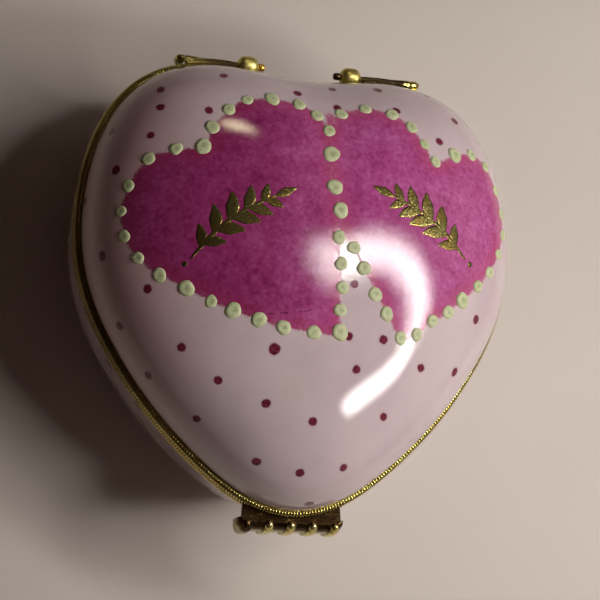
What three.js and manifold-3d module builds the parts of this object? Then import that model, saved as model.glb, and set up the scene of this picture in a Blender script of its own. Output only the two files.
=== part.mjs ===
// Heart-shaped hinged trinket box: two porcelain shells with reeded brass mounts,
// two small pin hinges on the backs of the lobes and a fluted clasp tongue at the tip.
// Millimetres, +Z up. The box stands on z = 0 with its plan centred on the origin,
// the tip of the heart towards -Y and the cleft towards +Y.
import * as THREE from 'three';
import { mergeVertices } from 'three/addons/utils/BufferGeometryUtils.js';
import Module from 'manifold-3d';

const wasm = await Module();
wasm.setup();

// ---------------------------------------------------------------- driving dimensions
const SEAM_Z = 17.0;            // height of the parting plane between base and lid
const SEGMENTS = 80;            // steps round the heart

// outline of the mounts (outermost line of the reeded bead), polar, angle measured from the tip:
// r(t) = sum OUTLINE[k] * cos(k t)
const OUTLINE = [24.807, -2.403, 0.216, 1.954, -0.419, 0.6745, -0.172, 0.117, 0.0575];

const DOME_HEIGHT = 11.7;       // top of the lid above the seam
const DOME_POWER = 2.5;         // fullness of the dome section
const ROUND_RADIUS = 23.6;      // the level lines of the dome relax from the heart to this circle
const ROUND_SHARE = 0.45;       // how far they have relaxed at the very top
const LID_WALL = 2.1;           // porcelain thickness, lid
const BASE_WALL = 2.2;          // porcelain thickness, base
const RIM_INSET = 0.80;         // widest line of the porcelain, inside the outline
const NECK_INSET = 1.38;        // recessed neck of the porcelain that sits in the mount
const NECK_H = 1.50;            // top of the neck, from the seam
const RIM_GAP = 0.78;           // edge of the porcelain, above or below the seam

const BEAD_RADIUS = 0.5;        // reeded bead of each mount
const SEAM_GAP = 0.05;          // half of the gap between the closed mounts
const WALL_OUT = 0.86;          // bezel wall of a mount, outer and inner faces
const WALL_IN = 1.22;
const WALL_TOP = 1.30;          // bezel wall, height from the seam
const LEDGE_IN = 3.62;          // inner edge of the ledge that carries the porcelain
const LEDGE_T = 0.42;
const GORGE_OUT = 3.80;         // guide rim inside the base mount
const GORGE_IN = 4.15;
const GORGE_TOP = 1.35;
const GORGE_FOOT = -1.6;
const BED_T = 0.26;             // cement bed between ledge and porcelain

const FOOT_OUT = 6.2;           // foot ring, inside the outline
const FOOT_IN = 8.0;
const FOOT_H = 1.1;

const HINGE_Y = 25.08;          // hinge axis, on the seam plane, from the middle of the outline
const PIN_R = 0.20;
const BORE_R = 0.25;
const SLEEVE_R0 = 0.34;         // sleeve at its inner end
const SLEEVE_R1 = 0.45;         // sleeve at its outer end
const KNUCKLE_R = 1.12;         // big rounded knuckle
const X_TAIL = 4.05;            // stations along the hinge, from the cleft outwards
const X_BALL0 = 4.95;
const X_BALL1 = 7.15;
const X_SLEEVE0 = 7.30;
const X_SLEEVE1 = 13.25;
const X_END1 = 14.15;
const X_PIN1 = 14.35;

const CLASP_HALF = 5.9;         // clasp tongue, half of its width
const CLASP_RIBS = 5;           // upright ribs on its face
const RIB_PITCH = 2.47;
const RIB_HALF = 0.62;
const RIB_HIGH = 0.34;
const CLASP_FACE = 26.26;       // face of the tongue between the ribs, from the middle of the outline
const CLASP_TOP = 0.52;         // from the seam
const FLANGE_HALF = 5.6;        // flange that joins the tongue to the lid mount, half of its width
const FLANGE_LOW = 0.10;
const FLANGE_TOP = 0.42;
const CLASP_LOW = -2.9;
const CORNER = 1.3;             // radius of its lower corners

const PLAN_SHIFT = 0.20;        // puts the middle of the overall length on the origin

// ---------------------------------------------------------------- materials
const glaze = () => new THREE.MeshStandardMaterial({ color: 0xd9c7cf, roughness: 0.16, metalness: 0.0 });
const glazeWhite = () => new THREE.MeshStandardMaterial({ color: 0xe4d8dc, roughness: 0.16, metalness: 0.0 });
const brass = () => new THREE.MeshStandardMaterial({ color: 0xc9a94a, roughness: 0.24, metalness: 1.0 });
const brassDark = () => new THREE.MeshStandardMaterial({ color: 0xb08f3a, roughness: 0.3, metalness: 1.0 });
const cement = () => new THREE.MeshStandardMaterial({ color: 0xd8d2c4, roughness: 0.9, metalness: 0.0 });

const object = new THREE.Group();
const piece = (name, geometry, material) => {
  const mesh = new THREE.Mesh(geometry, material);
  mesh.name = name;
  object.add(mesh);
  return mesh;
};

// ---------------------------------------------------------------- the heart
const radius = (t) => OUTLINE.reduce((sum, a, k) => sum + a * Math.cos(k * t), 0);
const slope = (t) => OUTLINE.reduce((sum, a, k) => sum - k * a * Math.sin(k * t), 0);

// point of the outline moved inwards by `inset` along the normal
const edge = (t, inset) => {
  const r = radius(t), d = slope(t);
  const x = r * Math.sin(t), y = -r * Math.cos(t);
  const tx = d * Math.sin(t) + r * Math.cos(t), ty = -d * Math.cos(t) + r * Math.sin(t);
  const n = Math.hypot(tx, ty);
  return [x - inset * ty / n, y + inset * tx / n];
};

// stations round the heart, evenly spaced along the outline
const stations = (() => {
  const fine = 4000, at = [0];
  for (let i = 1; i <= fine; i++) {
    const [x0, y0] = edge(Math.PI * 2 * (i - 1) / fine, 0), [x1, y1] = edge(Math.PI * 2 * i / fine, 0);
    at.push(at[i - 1] + Math.hypot(x1 - x0, y1 - y0));
  }
  const list = [];
  let j = 0;
  for (let i = 0; i < SEGMENTS; i++) {
    const want = at[fine] * i / SEGMENTS;
    while (at[j + 1] < want) j++;
    list.push(Math.PI * 2 * (j + (want - at[j]) / (at[j + 1] - at[j])) / fine);
  }
  return list;
})();

// A closed section {s, z} or {scale, z} swept round the heart. The lathe lays out the
// rings, and each ring is then moved onto the heart. `place(point, angle)` gives x, y, z.
const sweep = (section, place, closed = false) => {
  const points = section.map((p) => new THREE.Vector2(p.x, p.y));
  if (closed) points.push(points[0].clone());
  const lathe = new THREE.LatheGeometry(points, SEGMENTS);
  const rows = points.length, pos = lathe.attributes.position;
  for (let i = 0; i <= SEGMENTS; i++) {
    const t = stations[i % SEGMENTS];
    for (let j = 0; j < rows; j++) {
      const p = section[j % section.length];
      const [x, y, z] = place(p, t);
      pos.setXYZ(i * rows + j, x, y, z);
    }
  }
  lathe.deleteAttribute('normal');
  lathe.deleteAttribute('uv');
  const merged = mergeVertices(lathe, 1e-4);
  merged.computeVertexNormals();
  return outward(merged);
};

// turns a closed surface so that its faces point out
const outward = (geometry) => {
  const p = geometry.attributes.position, ix = geometry.index.array;
  let volume = 0;
  const a = new THREE.Vector3(), b = new THREE.Vector3(), c = new THREE.Vector3();
  for (let i = 0; i < ix.length; i += 3) {
    a.fromBufferAttribute(p, ix[i]); b.fromBufferAttribute(p, ix[i + 1]); c.fromBufferAttribute(p, ix[i + 2]);
    volume += a.dot(b.cross(c));
  }
  if (volume < 0) for (let i = 0; i < ix.length; i += 3) { const k = ix[i]; ix[i] = ix[i + 1]; ix[i + 1] = k; }
  geometry.computeVertexNormals();
  return geometry;
};

// ring section: x is the inset from the outline, y the height from the seam
const ring = (section) => sweep(section, (p, t) => {
  const [x, y] = edge(t, p.x);
  return [x, y, SEAM_Z + p.y];
}, true);

// ---------------------------------------------------------------- solids that are joined or cut
const solid = (geometry) => {
  const g = geometry.clone();
  g.deleteAttribute('normal');
  g.deleteAttribute('uv');
  const m = mergeVertices(g, 1e-5);
  return new wasm.Manifold(new wasm.Mesh({
    numProp: 3,
    vertProperties: new Float32Array(m.attributes.position.array),
    triVerts: new Uint32Array(m.index.array),
  }));
};
const surface = (manifold) => {
  const mesh = manifold.getMesh();
  const g = new THREE.BufferGeometry();
  g.setAttribute('position', new THREE.BufferAttribute(new Float32Array(mesh.vertProperties), 3));
  g.setIndex(new THREE.BufferAttribute(new Uint32Array(mesh.triVerts), 1));
  g.computeVertexNormals();
  return g;
};
const box = (x0, x1, y0, y1, z0, z1) => {
  const g = new THREE.BoxGeometry(x1 - x0, y1 - y0, z1 - z0);
  g.translate((x0 + x1) / 2, (y0 + y1) / 2, SEAM_Z + (z0 + z1) / 2);
  return solid(g);
};
// solid of revolution about the hinge axis: profile of [x, radius], either side of the box
const turned = (profile, side, sides = 16) => {
  const pts = [];
  pts.push(new THREE.Vector2(0, profile[0][0]));
  for (const [x, r] of profile) pts.push(new THREE.Vector2(r, x));
  pts.push(new THREE.Vector2(0, profile[profile.length - 1][0]));
  const g = new THREE.LatheGeometry(pts, sides);
  g.rotateZ(-Math.PI / 2);                      // the lathe axis now runs along +X
  if (side < 0) g.rotateZ(Math.PI);
  g.translate(0, HINGE_Y, SEAM_Z);
  return solid(g);
};

// ---------------------------------------------------------------- porcelain
// the outline of the porcelain rim, in polar form, used by the dome's level lines
const rimRadius = (t) => { const [x, y] = edge(t, RIM_INSET); return Math.hypot(x, y); };
const rimAngle = (t) => { const [x, y] = edge(t, RIM_INSET); return Math.atan2(x, -y); };
const level = (t, share, shrink) => {
  const relax = ROUND_SHARE * (1 - share) ** 2;
  const r = share * (rimRadius(t) * (1 - relax) + ROUND_RADIUS * relax) - shrink;
  const a = rimAngle(t);
  return [Math.max(r, 0) * Math.sin(a), -Math.max(r, 0) * Math.cos(a)];
};
const domeShare = (z, height) => Math.pow(Math.max(0, 1 - Math.pow(z / height, DOME_POWER)), 1 / DOME_POWER);

const lidSection = [];
{
  const outer = [[0, DOME_HEIGHT]];
  for (const s of [0.14, 0.28, 0.42, 0.55, 0.67, 0.77, 0.85, 0.91, 0.95, 0.975, 0.99]) {
    outer.push([s, DOME_HEIGHT * Math.pow(1 - Math.pow(s, DOME_POWER), 1 / DOME_POWER)]);
  }
  for (const [s, z] of outer) lidSection.push({ x: s, y: z, kind: 'dome' });
  lidSection.push({ x: domeShare(NECK_H, DOME_HEIGHT), y: NECK_H, kind: 'dome' });
  lidSection.push({ x: NECK_INSET, y: NECK_H, kind: 'neck' });
  lidSection.push({ x: NECK_INSET, y: RIM_GAP, kind: 'neck' });
  const hi = DOME_HEIGHT - LID_WALL;
  lidSection.push({ x: 1.0, y: RIM_GAP, kind: 'in' });
  lidSection.push({ x: 0.985, y: 2.4, kind: 'in' });
  for (const s of [0.94, 0.86, 0.75, 0.62, 0.46, 0.28, 0.14]) {
    lidSection.push({ x: s, y: hi * Math.pow(1 - Math.pow(s, DOME_POWER), 1 / DOME_POWER), kind: 'in' });
  }
  lidSection.push({ x: 0, y: hi, kind: 'in' });
}
const innerRim = (t) => { const [x, y] = edge(t, NECK_INSET + LID_WALL); return Math.hypot(x, y); };
const innerAngle = (t) => { const [x, y] = edge(t, NECK_INSET + LID_WALL); return Math.atan2(x, -y); };
piece('lid_porcelain', sweep(lidSection, (p, t) => {
  if (p.kind === 'dome') { const [x, y] = level(t, p.x, 0); return [x, y, SEAM_Z + p.y]; }
  if (p.kind === 'neck') { const [x, y] = edge(t, p.x); return [x, y, SEAM_Z + p.y]; }
  const relax = ROUND_SHARE * (1 - p.x) ** 2;
  const r = p.x * (innerRim(t) * (1 - relax) + (ROUND_RADIUS - LID_WALL) * relax), a = innerAngle(t);
  return [r * Math.sin(a), -r * Math.cos(a), SEAM_Z + p.y];
}), glaze());

// bowl: insets from the outline down the outside, foot ring, inside; heights are absolute
const bowl = [
  { c: 1, x: 0, z: FOOT_H - 0.15 },                     // underside, middle
  { x: FOOT_IN + 0.4, z: FOOT_H - 0.15 },
  { x: FOOT_IN, z: 0 }, { x: FOOT_OUT, z: 0 },          // foot ring
  { x: FOOT_OUT - 0.25, z: FOOT_H },
  { x: 4.6, z: FOOT_H + 0.35 }, { x: 3.2, z: FOOT_H + 1.2 }, { x: 2.25, z: FOOT_H + 2.6 },
  { x: 1.62, z: FOOT_H + 4.8 }, { x: 1.05, z: 10.0 }, { x: RIM_INSET, z: 13.6 },
  { x: RIM_INSET, z: SEAM_Z - NECK_H },
  { x: NECK_INSET, z: SEAM_Z - NECK_H },
  { x: NECK_INSET, z: SEAM_Z - RIM_GAP },
  { x: NECK_INSET + BASE_WALL, z: SEAM_Z - RIM_GAP },
  { x: NECK_INSET + BASE_WALL, z: 13.5 }, { x: 1.7 + BASE_WALL, z: 9.0 }, { x: 2.3 + BASE_WALL, z: 6.4 },
  { x: 3.4 + BASE_WALL, z: 4.6 }, { x: 5.4 + BASE_WALL, z: 3.5 }, { x: 7.6 + BASE_WALL, z: 3.2 },
  { c: 1, x: 0, z: 3.2 },
];
piece('base_porcelain', sweep(bowl.map((p) => ({ x: p.c ? 0 : 30 - p.x, y: p.z, c: p.c, s: p.x })), (p, t) => {
  if (p.c) return [0, 0, p.y];
  const [x, y] = edge(t, p.s);
  return [x, y, p.y];
}), glazeWhite());

// ---------------------------------------------------------------- brass mounts
// section of a mount, up is +1 for the lid and -1 for the base
const mountSection = (up) => {
  const list = [];
  const zc = SEAM_GAP + BEAD_RADIUS;
  for (let i = 0; i <= 6; i++) {                        // the bead, from its foot round to its top
    const a = -Math.PI / 2 + Math.PI * i / 6;
    list.push({ x: BEAD_RADIUS - BEAD_RADIUS * Math.cos(a), y: up * (zc + BEAD_RADIUS * Math.sin(a)) });
  }
  list.push({ x: WALL_OUT, y: up * (zc + BEAD_RADIUS - 0.06) });
  list.push({ x: WALL_OUT, y: up * (WALL_TOP - 0.12) });
  list.push({ x: WALL_OUT + 0.12, y: up * WALL_TOP });
  list.push({ x: WALL_IN, y: up * WALL_TOP });
  list.push({ x: WALL_IN, y: up * (SEAM_GAP + LEDGE_T) });
  list.push({ x: LEDGE_IN, y: up * (SEAM_GAP + LEDGE_T) });
  list.push({ x: LEDGE_IN, y: up * SEAM_GAP });
  return list;
};
let lidMount = solid(ring(mountSection(1)));
let baseMount = solid(ring(mountSection(-1)));

// cement beds
const bed = (up) => ring([
  { x: WALL_IN + 0.14, y: up * (SEAM_GAP + LEDGE_T + 0.02) },
  { x: WALL_IN + 0.14, y: up * (SEAM_GAP + LEDGE_T + 0.02 + BED_T) },
  { x: LEDGE_IN - 0.14, y: up * (SEAM_GAP + LEDGE_T + 0.02 + BED_T) },
  { x: LEDGE_IN - 0.14, y: up * (SEAM_GAP + LEDGE_T + 0.02) },
]);
piece('lid_cement_bed', bed(1), cement());
piece('base_cement_bed', bed(-1), cement());

// guide rim inside the base mount
piece('base_gorge', ring([
  { x: GORGE_OUT, y: GORGE_FOOT }, { x: GORGE_OUT, y: GORGE_TOP - 0.15 }, { x: GORGE_OUT + 0.1, y: GORGE_TOP },
  { x: GORGE_IN, y: GORGE_TOP }, { x: GORGE_IN, y: GORGE_FOOT },
]), brass());

// ---------------------------------------------------------------- hinges
const knuckleProfile = (r0, x0, x1, grow) => {
  const list = [], mid = (x0 + x1) / 2, half = (x1 - x0) / 2;
  for (let i = 0; i <= 10; i++) {
    const u = -1 + 2 * i / 10;
    const bulge = Math.sqrt(Math.max(0, 1 - Math.pow(Math.abs(u), 3) * 0.7));
    list.push([mid + half * u, grow + r0 * bulge]);
  }
  return list;
};
const leafBlock = (up, side, x0, x1, low, high) => {
  // a curved plate lying on the outer face of the bezel wall, between two stations across the box
  const band = solid(ring([
    { x: 0.0, y: up * low }, { x: 0.0, y: up * high }, { x: WALL_OUT - 0.02, y: up * high }, { x: WALL_OUT - 0.02, y: up * low },
  ]));
  const a = side > 0 ? x0 : -x1, b = side > 0 ? x1 : -x0;
  return band.intersect(box(a, b, 20, 26, -3, 3));
};
for (const [side, tag] of [[-1, 'left'], [1, 'right']]) {
  const bore = turned([[X_TAIL - 1, BORE_R], [X_PIN1 + 1, BORE_R]], side);
  const span = (x0, x1, y0, y1, z0, z1) => (side > 0 ? box(x0, x1, y0, y1, z0, z1) : box(-x1, -x0, y0, y1, z0, z1));

  // lid leaf: curved plate on the lid mount with the long tapered sleeve
  const sleeve = turned([[X_SLEEVE0, SLEEVE_R0], [X_SLEEVE1 - 0.5, SLEEVE_R1], [X_SLEEVE1, SLEEVE_R1]], side);
  const web = span(X_SLEEVE0, X_SLEEVE1, HINGE_Y - 0.95, HINGE_Y, 0.12, 0.42);
  let lidLeaf = leafBlock(1, side, X_SLEEVE0, X_SLEEVE1, 0.12, 1.2).add(sleeve).add(web.intersect(
    solid(ring([{ x: -1.2, y: 0.05 }, { x: -1.2, y: 0.9 }, { x: WALL_OUT - 0.02, y: 0.9 }, { x: WALL_OUT - 0.02, y: 0.05 }]))));
  lidLeaf = lidLeaf.subtract(bore);
  piece(`hinge_lid_leaf_${tag}`, surface(lidLeaf), brassDark());

  // base leaf: curved plate on the base mount with the big knuckle and the end knuckle
  const ball = turned(knuckleProfile(KNUCKLE_R, X_BALL0, X_BALL1, 0), side);
  const end = turned([[X_SLEEVE1 + 0.12, SLEEVE_R1], [X_END1 - 0.15, SLEEVE_R1], [X_END1, SLEEVE_R1 - 0.15]], side);
  const heel = span(X_SLEEVE1 + 0.12, X_END1, HINGE_Y - 1.6, HINGE_Y + 0.15, -0.58, -0.15).intersect(
    solid(ring([{ x: -1.4, y: -0.9 }, { x: -1.4, y: -0.05 }, { x: WALL_OUT - 0.02, y: -0.05 }, { x: WALL_OUT - 0.02, y: -0.9 }])));
  let baseLeaf = leafBlock(-1, side, X_BALL0, X_END1, 0.12, 1.2).add(ball).add(end).add(heel);
  baseLeaf = baseLeaf.subtract(turned([[X_BALL1 + 0.02, SLEEVE_R1 + 0.12], [X_SLEEVE1 + 0.1, SLEEVE_R1 + 0.12]], side));
  // the knuckles stay clear of both bezel walls
  baseLeaf = baseLeaf.subtract(solid(ring([{ x: WALL_OUT - 0.02, y: -2.4 }, { x: WALL_OUT - 0.02, y: 2.4 }, { x: 4, y: 2.4 }, { x: 4, y: -2.4 }])));
  baseLeaf = baseLeaf.subtract(bore);
  piece(`hinge_base_leaf_${tag}`, surface(baseLeaf), brassDark());

  // pin, with its peened tail and end
  const pin = turned([[X_TAIL, 0.26], [X_TAIL + 0.1, 0.36], [X_BALL0 - 0.12, 0.36], [X_BALL0 - 0.04, PIN_R], [X_END1 + 0.04, PIN_R],
    [X_END1 + 0.06, 0.34], [X_PIN1 - 0.06, 0.34], [X_PIN1, 0.2]], side, 12);
  piece(`hinge_pin_${tag}`, surface(pin), brass());

  // seats in the mounts
  lidMount = lidMount.subtract(span(X_SLEEVE0 - 0.08, X_SLEEVE1 + 0.08, 20, 27, -1, 1.5).intersect(
    solid(ring([{ x: -2, y: -1 }, { x: -2, y: 1.5 }, { x: WALL_OUT, y: 1.5 }, { x: WALL_OUT, y: -1 }]))));
  lidMount = lidMount.subtract(turned([[X_TAIL - 0.4, 0.5], [X_BALL0 - 0.08, 0.5]], side));
  lidMount = lidMount.subtract(turned(knuckleProfile(KNUCKLE_R, X_BALL0 - 0.1, X_BALL1 + 0.14, 0.12), side));
  lidMount = lidMount.subtract(turned([[X_SLEEVE1 + 0.04, SLEEVE_R1 + 0.12], [X_PIN1 + 0.3, SLEEVE_R1 + 0.12]], side));
  baseMount = baseMount.subtract(span(X_BALL0 - 0.08, X_END1 + 0.08, 20, 27, -1.5, 1).intersect(
    solid(ring([{ x: -2, y: -1.5 }, { x: -2, y: 1 }, { x: WALL_OUT, y: 1 }, { x: WALL_OUT, y: -1.5 }]))));
  baseMount = baseMount.subtract(turned([[X_TAIL - 0.4, 0.5], [X_BALL0 - 0.08, 0.5]], side));
  baseMount = baseMount.subtract(turned([[X_END1, SLEEVE_R1 + 0.12], [X_PIN1 + 0.3, SLEEVE_R1 + 0.12]], side));
}

// ---------------------------------------------------------------- clasp
// ribbed tongue: a plate with rounded lower corners, five upright half-round ribs on its face
{
  // the plate's section across the box: height from the seam, outer face, inner face (forward distances)
  const profile = [
    [CLASP_TOP, 25.40, 24.90], [0.38, 25.82, 24.90], [0.0, 26.06, 24.93], [-0.6, CLASP_FACE - 0.06, 24.98],
    [-1.4, CLASP_FACE, 25.02], [-2.2, CLASP_FACE, 25.10], [CLASP_LOW + 0.25, CLASP_FACE, 25.42], [CLASP_LOW, CLASP_FACE - 0.1, 25.72],
  ];
  // stations across the box
  const cols = [-CLASP_HALF, -CLASP_HALF + 0.12];
  for (let k = 0; k < CLASP_RIBS; k++) {
    const c = (k - (CLASP_RIBS - 1) / 2) * RIB_PITCH;
    for (const u of [-1, -0.85, -0.5, 0, 0.5, 0.85, 1]) cols.push(c + u * RIB_HALF);
  }
  cols.push(CLASP_HALF - 0.12, CLASP_HALF);
  const rib = (x) => {
    const k = Math.round(x / RIB_PITCH), u = (x - k * RIB_PITCH) / RIB_HALF;
    return Math.abs(u) >= 0.999 ? 0 : RIB_HIGH * Math.sqrt(1 - u * u);
  };
  const ends = (x) => { const u = Math.max(0, Math.abs(x) - (CLASP_HALF - 1.1)) / 1.1; return 0.75 * (1 - Math.sqrt(1 - Math.min(1, u * u * 0.96))); };
  const verts = [], faces = [];
  const n = profile.length * 2;
  cols.forEach((x) => {
    profile.forEach(([z, out, inn], j) => {
      const fade = j === 0 ? 0 : j === 1 ? 0.6 : 1;
      verts.push([x, -Math.max(out + rib(x) * fade - ends(x), inn + 0.3), SEAM_Z + z]);
    });
    [...profile].reverse().forEach(([z, out, inn]) => verts.push([x, -inn, SEAM_Z + z]));
  });
  for (let i = 0; i < cols.length - 1; i++) for (let j = 0; j < n; j++) {
    const a = i * n + j, b = i * n + (j + 1) % n, c = (i + 1) * n + (j + 1) % n, d = (i + 1) * n + j;
    faces.push([a, b, c], [a, c, d]);
  }
  for (const [i, flip] of [[0, true], [cols.length - 1, false]]) {
    for (let j = 0; j < profile.length - 1; j++) {
      const a = i * n + j, b = i * n + j + 1, c = i * n + n - 2 - j, d = i * n + n - 1 - j;
      faces.push(flip ? [a, c, b] : [a, b, c], flip ? [a, d, c] : [a, c, d]);
    }
  }
  const g = new THREE.BufferGeometry();
  g.setAttribute('position', new THREE.BufferAttribute(new Float32Array(verts.flat()), 3));
  g.setIndex(new THREE.BufferAttribute(new Uint32Array(faces.flat()), 1));
  let tongue = solid(outward(g));
  // rounded lower corners
  const face = new THREE.Shape();
  face.moveTo(-CLASP_HALF - 0.5, 2);
  face.lineTo(-CLASP_HALF, 2);
  face.lineTo(-CLASP_HALF, CLASP_LOW + CORNER);
  for (let k = 1; k <= 6; k++) {
    const a = Math.PI + (Math.PI / 2) * k / 6;
    face.lineTo(-CLASP_HALF + CORNER + CORNER * Math.cos(a), CLASP_LOW + CORNER + CORNER * Math.sin(a));
  }
  face.lineTo(-CLASP_HALF + CORNER, CLASP_LOW - 1);
  face.lineTo(-CLASP_HALF - 0.5, CLASP_LOW - 1);
  face.closePath();
  const corner = new THREE.ExtrudeGeometry(face, { depth: 4, bevelEnabled: false });
  corner.rotateX(Math.PI / 2);
  corner.translate(0, -23.5, SEAM_Z);
  const cut = solid(corner);
  tongue = tongue.subtract(cut).subtract(cut.mirror([1, 0, 0]));
  // flange from the mount of the lid out to the tongue
  const plan = new THREE.Shape();
  const tipSpan = 0.232;
  for (let k = 0; k <= 16; k++) {
    const [x, y] = edge(tipSpan * (2 * k / 16 - 1), -0.05);
    if (k === 0) plan.moveTo(x, y); else plan.lineTo(x, y);
  }
  plan.lineTo(FLANGE_HALF, -25.35);
  plan.lineTo(-FLANGE_HALF, -25.35);
  plan.closePath();
  const flange = new THREE.ExtrudeGeometry(plan, { depth: FLANGE_TOP - FLANGE_LOW, bevelEnabled: false });
  flange.translate(0, 0, SEAM_Z + FLANGE_LOW);
  tongue = tongue.add(solid(flange));
  // the tongue is fitted to the lid bead
  tongue = tongue.subtract(solid(ring([{ x: -0.05, y: -1.3 }, { x: -0.05, y: 1.3 }, { x: 3, y: 1.3 }, { x: 3, y: -1.3 }])));
  // ridge behind the tongue that snaps under the catch
  const ridge = new THREE.CylinderGeometry(0.2, 0.2, 3.2, 10);
  ridge.rotateZ(Math.PI / 2);
  ridge.translate(0, -25.14, SEAM_Z - 2.3);
  tongue = tongue.add(solid(ridge));
  piece('clasp_plate', surface(tongue), brassDark());

  // catch on the base mount
  const nib = new THREE.Shape();
  nib.moveTo(24.07, -1.0); nib.lineTo(24.5, -1.0); nib.lineTo(24.86, -1.38); nib.lineTo(24.86, -1.65); nib.lineTo(24.5, -1.92); nib.lineTo(24.07, -1.95);
  nib.closePath();
  const catchGeometry = new THREE.ExtrudeGeometry(nib, { depth: 2.4, bevelEnabled: false });
  catchGeometry.applyMatrix4(new THREE.Matrix4().set(0, 0, 1, -1.2, -1, 0, 0, 0, 0, 1, 0, SEAM_Z, 0, 0, 0, 1));
  let stud = solid(outward(mergeVertices((() => { const q = catchGeometry.clone(); q.deleteAttribute('normal'); q.deleteAttribute('uv'); return q; })(), 1e-5)));
  stud = stud.subtract(solid(ring([{ x: WALL_OUT - 0.02, y: -2.4 }, { x: WALL_OUT - 0.02, y: -1 }, { x: 3, y: -1 }, { x: 3, y: -2.4 }])));
  stud = stud.subtract(solid(ring([{ x: -1, y: -1.08 }, { x: -1, y: 0 }, { x: 3, y: 0 }, { x: 3, y: -1.08 }])));
  piece('clasp_catch', surface(stud), brass());
}

piece('lid_collar', surface(lidMount), brass());
piece('base_collar', surface(baseMount), brass());

object.position.y = PLAN_SHIFT;

export default object;
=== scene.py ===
# Heart-shaped hinged porcelain trinket box: the looks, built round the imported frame.
# Lengths in this file are in millimetres of the row frame until a mesh is made.
import math
import bpy
import bmesh
import numpy as np
from mathutils import Matrix, Vector


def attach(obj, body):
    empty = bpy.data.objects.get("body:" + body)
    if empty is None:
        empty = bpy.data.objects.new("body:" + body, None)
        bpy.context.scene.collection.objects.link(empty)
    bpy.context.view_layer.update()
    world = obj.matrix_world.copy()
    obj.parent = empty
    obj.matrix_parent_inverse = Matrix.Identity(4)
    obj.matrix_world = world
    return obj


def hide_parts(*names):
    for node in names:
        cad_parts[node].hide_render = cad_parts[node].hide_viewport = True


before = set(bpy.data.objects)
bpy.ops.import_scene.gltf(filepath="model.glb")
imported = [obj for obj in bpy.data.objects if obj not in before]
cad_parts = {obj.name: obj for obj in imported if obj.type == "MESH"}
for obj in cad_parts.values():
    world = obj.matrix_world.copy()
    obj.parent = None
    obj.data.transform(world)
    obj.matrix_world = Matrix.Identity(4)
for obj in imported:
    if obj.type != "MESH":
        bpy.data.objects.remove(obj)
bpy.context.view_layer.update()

MM = 0.001
RNG = np.random.default_rng(11)
TAU = 2 * math.pi

# ------------------------------------------------------------------ dimensions (as in the CAD part)
SEAM = 17.0
SHIFT = 0.20
OUTLINE = [24.807, -2.403, 0.216, 1.954, -0.419, 0.6745, -0.172, 0.117, 0.0575]
DOME_H, DOME_P = 11.7, 2.5
ROUND_R, ROUND_SHARE = 23.6, 0.45
LID_WALL, BASE_WALL = 2.1, 2.2
RIM_INSET, NECK_INSET, NECK_H, RIM_GAP = 0.70, 1.38, 1.38, 0.78
BEAD_R, SEAM_GAP = 0.5, 0.05
WALL_OUT, WALL_IN, WALL_TOP = 0.86, 1.22, 1.30
LEDGE_IN, LEDGE_T = 3.62, 0.42
GORGE_OUT, GORGE_IN, GORGE_TOP, GORGE_FOOT = 3.80, 4.15, 1.35, -1.6
FOOT_OUT, FOOT_IN, FOOT_H = 6.2, 8.0, 1.1
HINGE_Y = 25.08
PIN_R, SLEEVE_R0, SLEEVE_R1, KNUCKLE_R = 0.20, 0.28, 0.45, 1.12
X_TAIL, X_BALL0, X_BALL1, X_SLEEVE0, X_SLEEVE1, X_END1, X_PIN1 = 4.05, 4.95, 7.15, 7.30, 13.25, 14.15, 14.35
CLASP_HALF, CLASP_RIBS, RIB_PITCH, RIB_HALF, RIB_HIGH = 5.9, 5, 2.47, 0.62, 0.34
CLASP_FACE, CLASP_TOP, CLASP_LOW, CORNER = 26.26, 0.52, -2.9, 1.3
FLANGE_HALF, FLANGE_LOW, FLANGE_TOP = 5.6, 0.10, 0.42
VIEW_SHIFT = 0.20        # the camera and the painting, across the box

# ------------------------------------------------------------------ the heart
def radius(t):
    return sum(a * np.cos(k * t) for k, a in enumerate(OUTLINE))


def slope(t):
    return sum(-k * a * np.sin(k * t) for k, a in enumerate(OUTLINE))


def edge(t, inset):
    t = np.asarray(t, float)
    r, d = radius(t), slope(t)
    x, y = r * np.sin(t), -r * np.cos(t)
    tx, ty = d * np.sin(t) + r * np.cos(t), -d * np.cos(t) + r * np.sin(t)
    n = np.hypot(tx, ty)
    return x - inset * ty / n, y + inset * tx / n


_tt = np.linspace(0, TAU, 20001)
_ex, _ey = edge(_tt, 0.0)
_arc = np.r_[0, np.cumsum(np.hypot(np.diff(_ex), np.diff(_ey)))]
PERIMETER = _arc[-1]


def stations(n, shift=0.0):
    return np.interp((np.arange(n) + shift) / n * PERIMETER, _arc, _tt)


def polar_table(inset):
    x, y = edge(_tt, inset)
    a, r = np.arctan2(x, -y), np.hypot(x, y)
    o = np.argsort(a)
    a, r = a[o], r[o]
    return np.r_[a[-6:] - TAU, a, a[:6] + TAU], np.r_[r[-6:], r, r[:6]]


_RIM = polar_table(RIM_INSET)


def share_of(x, y):
    """how far out a plan point lies on the dome, 0 at the top and 1 at the rim"""
    a, r = np.arctan2(x, -y), np.hypot(x, y)
    rim = np.interp(a, *_RIM)
    s = np.minimum(r / rim, 1.2)
    for _ in range(14):
        relax = ROUND_SHARE * np.maximum(1 - s, 0) ** 2
        s = r / (rim * (1 - relax) + ROUND_R * relax)
    return s


def dome_z(x, y):
    s = share_of(np.asarray(x, float), np.asarray(y, float))
    return DOME_H * np.maximum(1 - s ** DOME_P, 0) ** (1 / DOME_P)


def dome_points(xy):
    xy = np.asarray(xy, float)
    return np.concatenate([xy, dome_z(xy[..., 0], xy[..., 1])[..., None]], -1)


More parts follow.
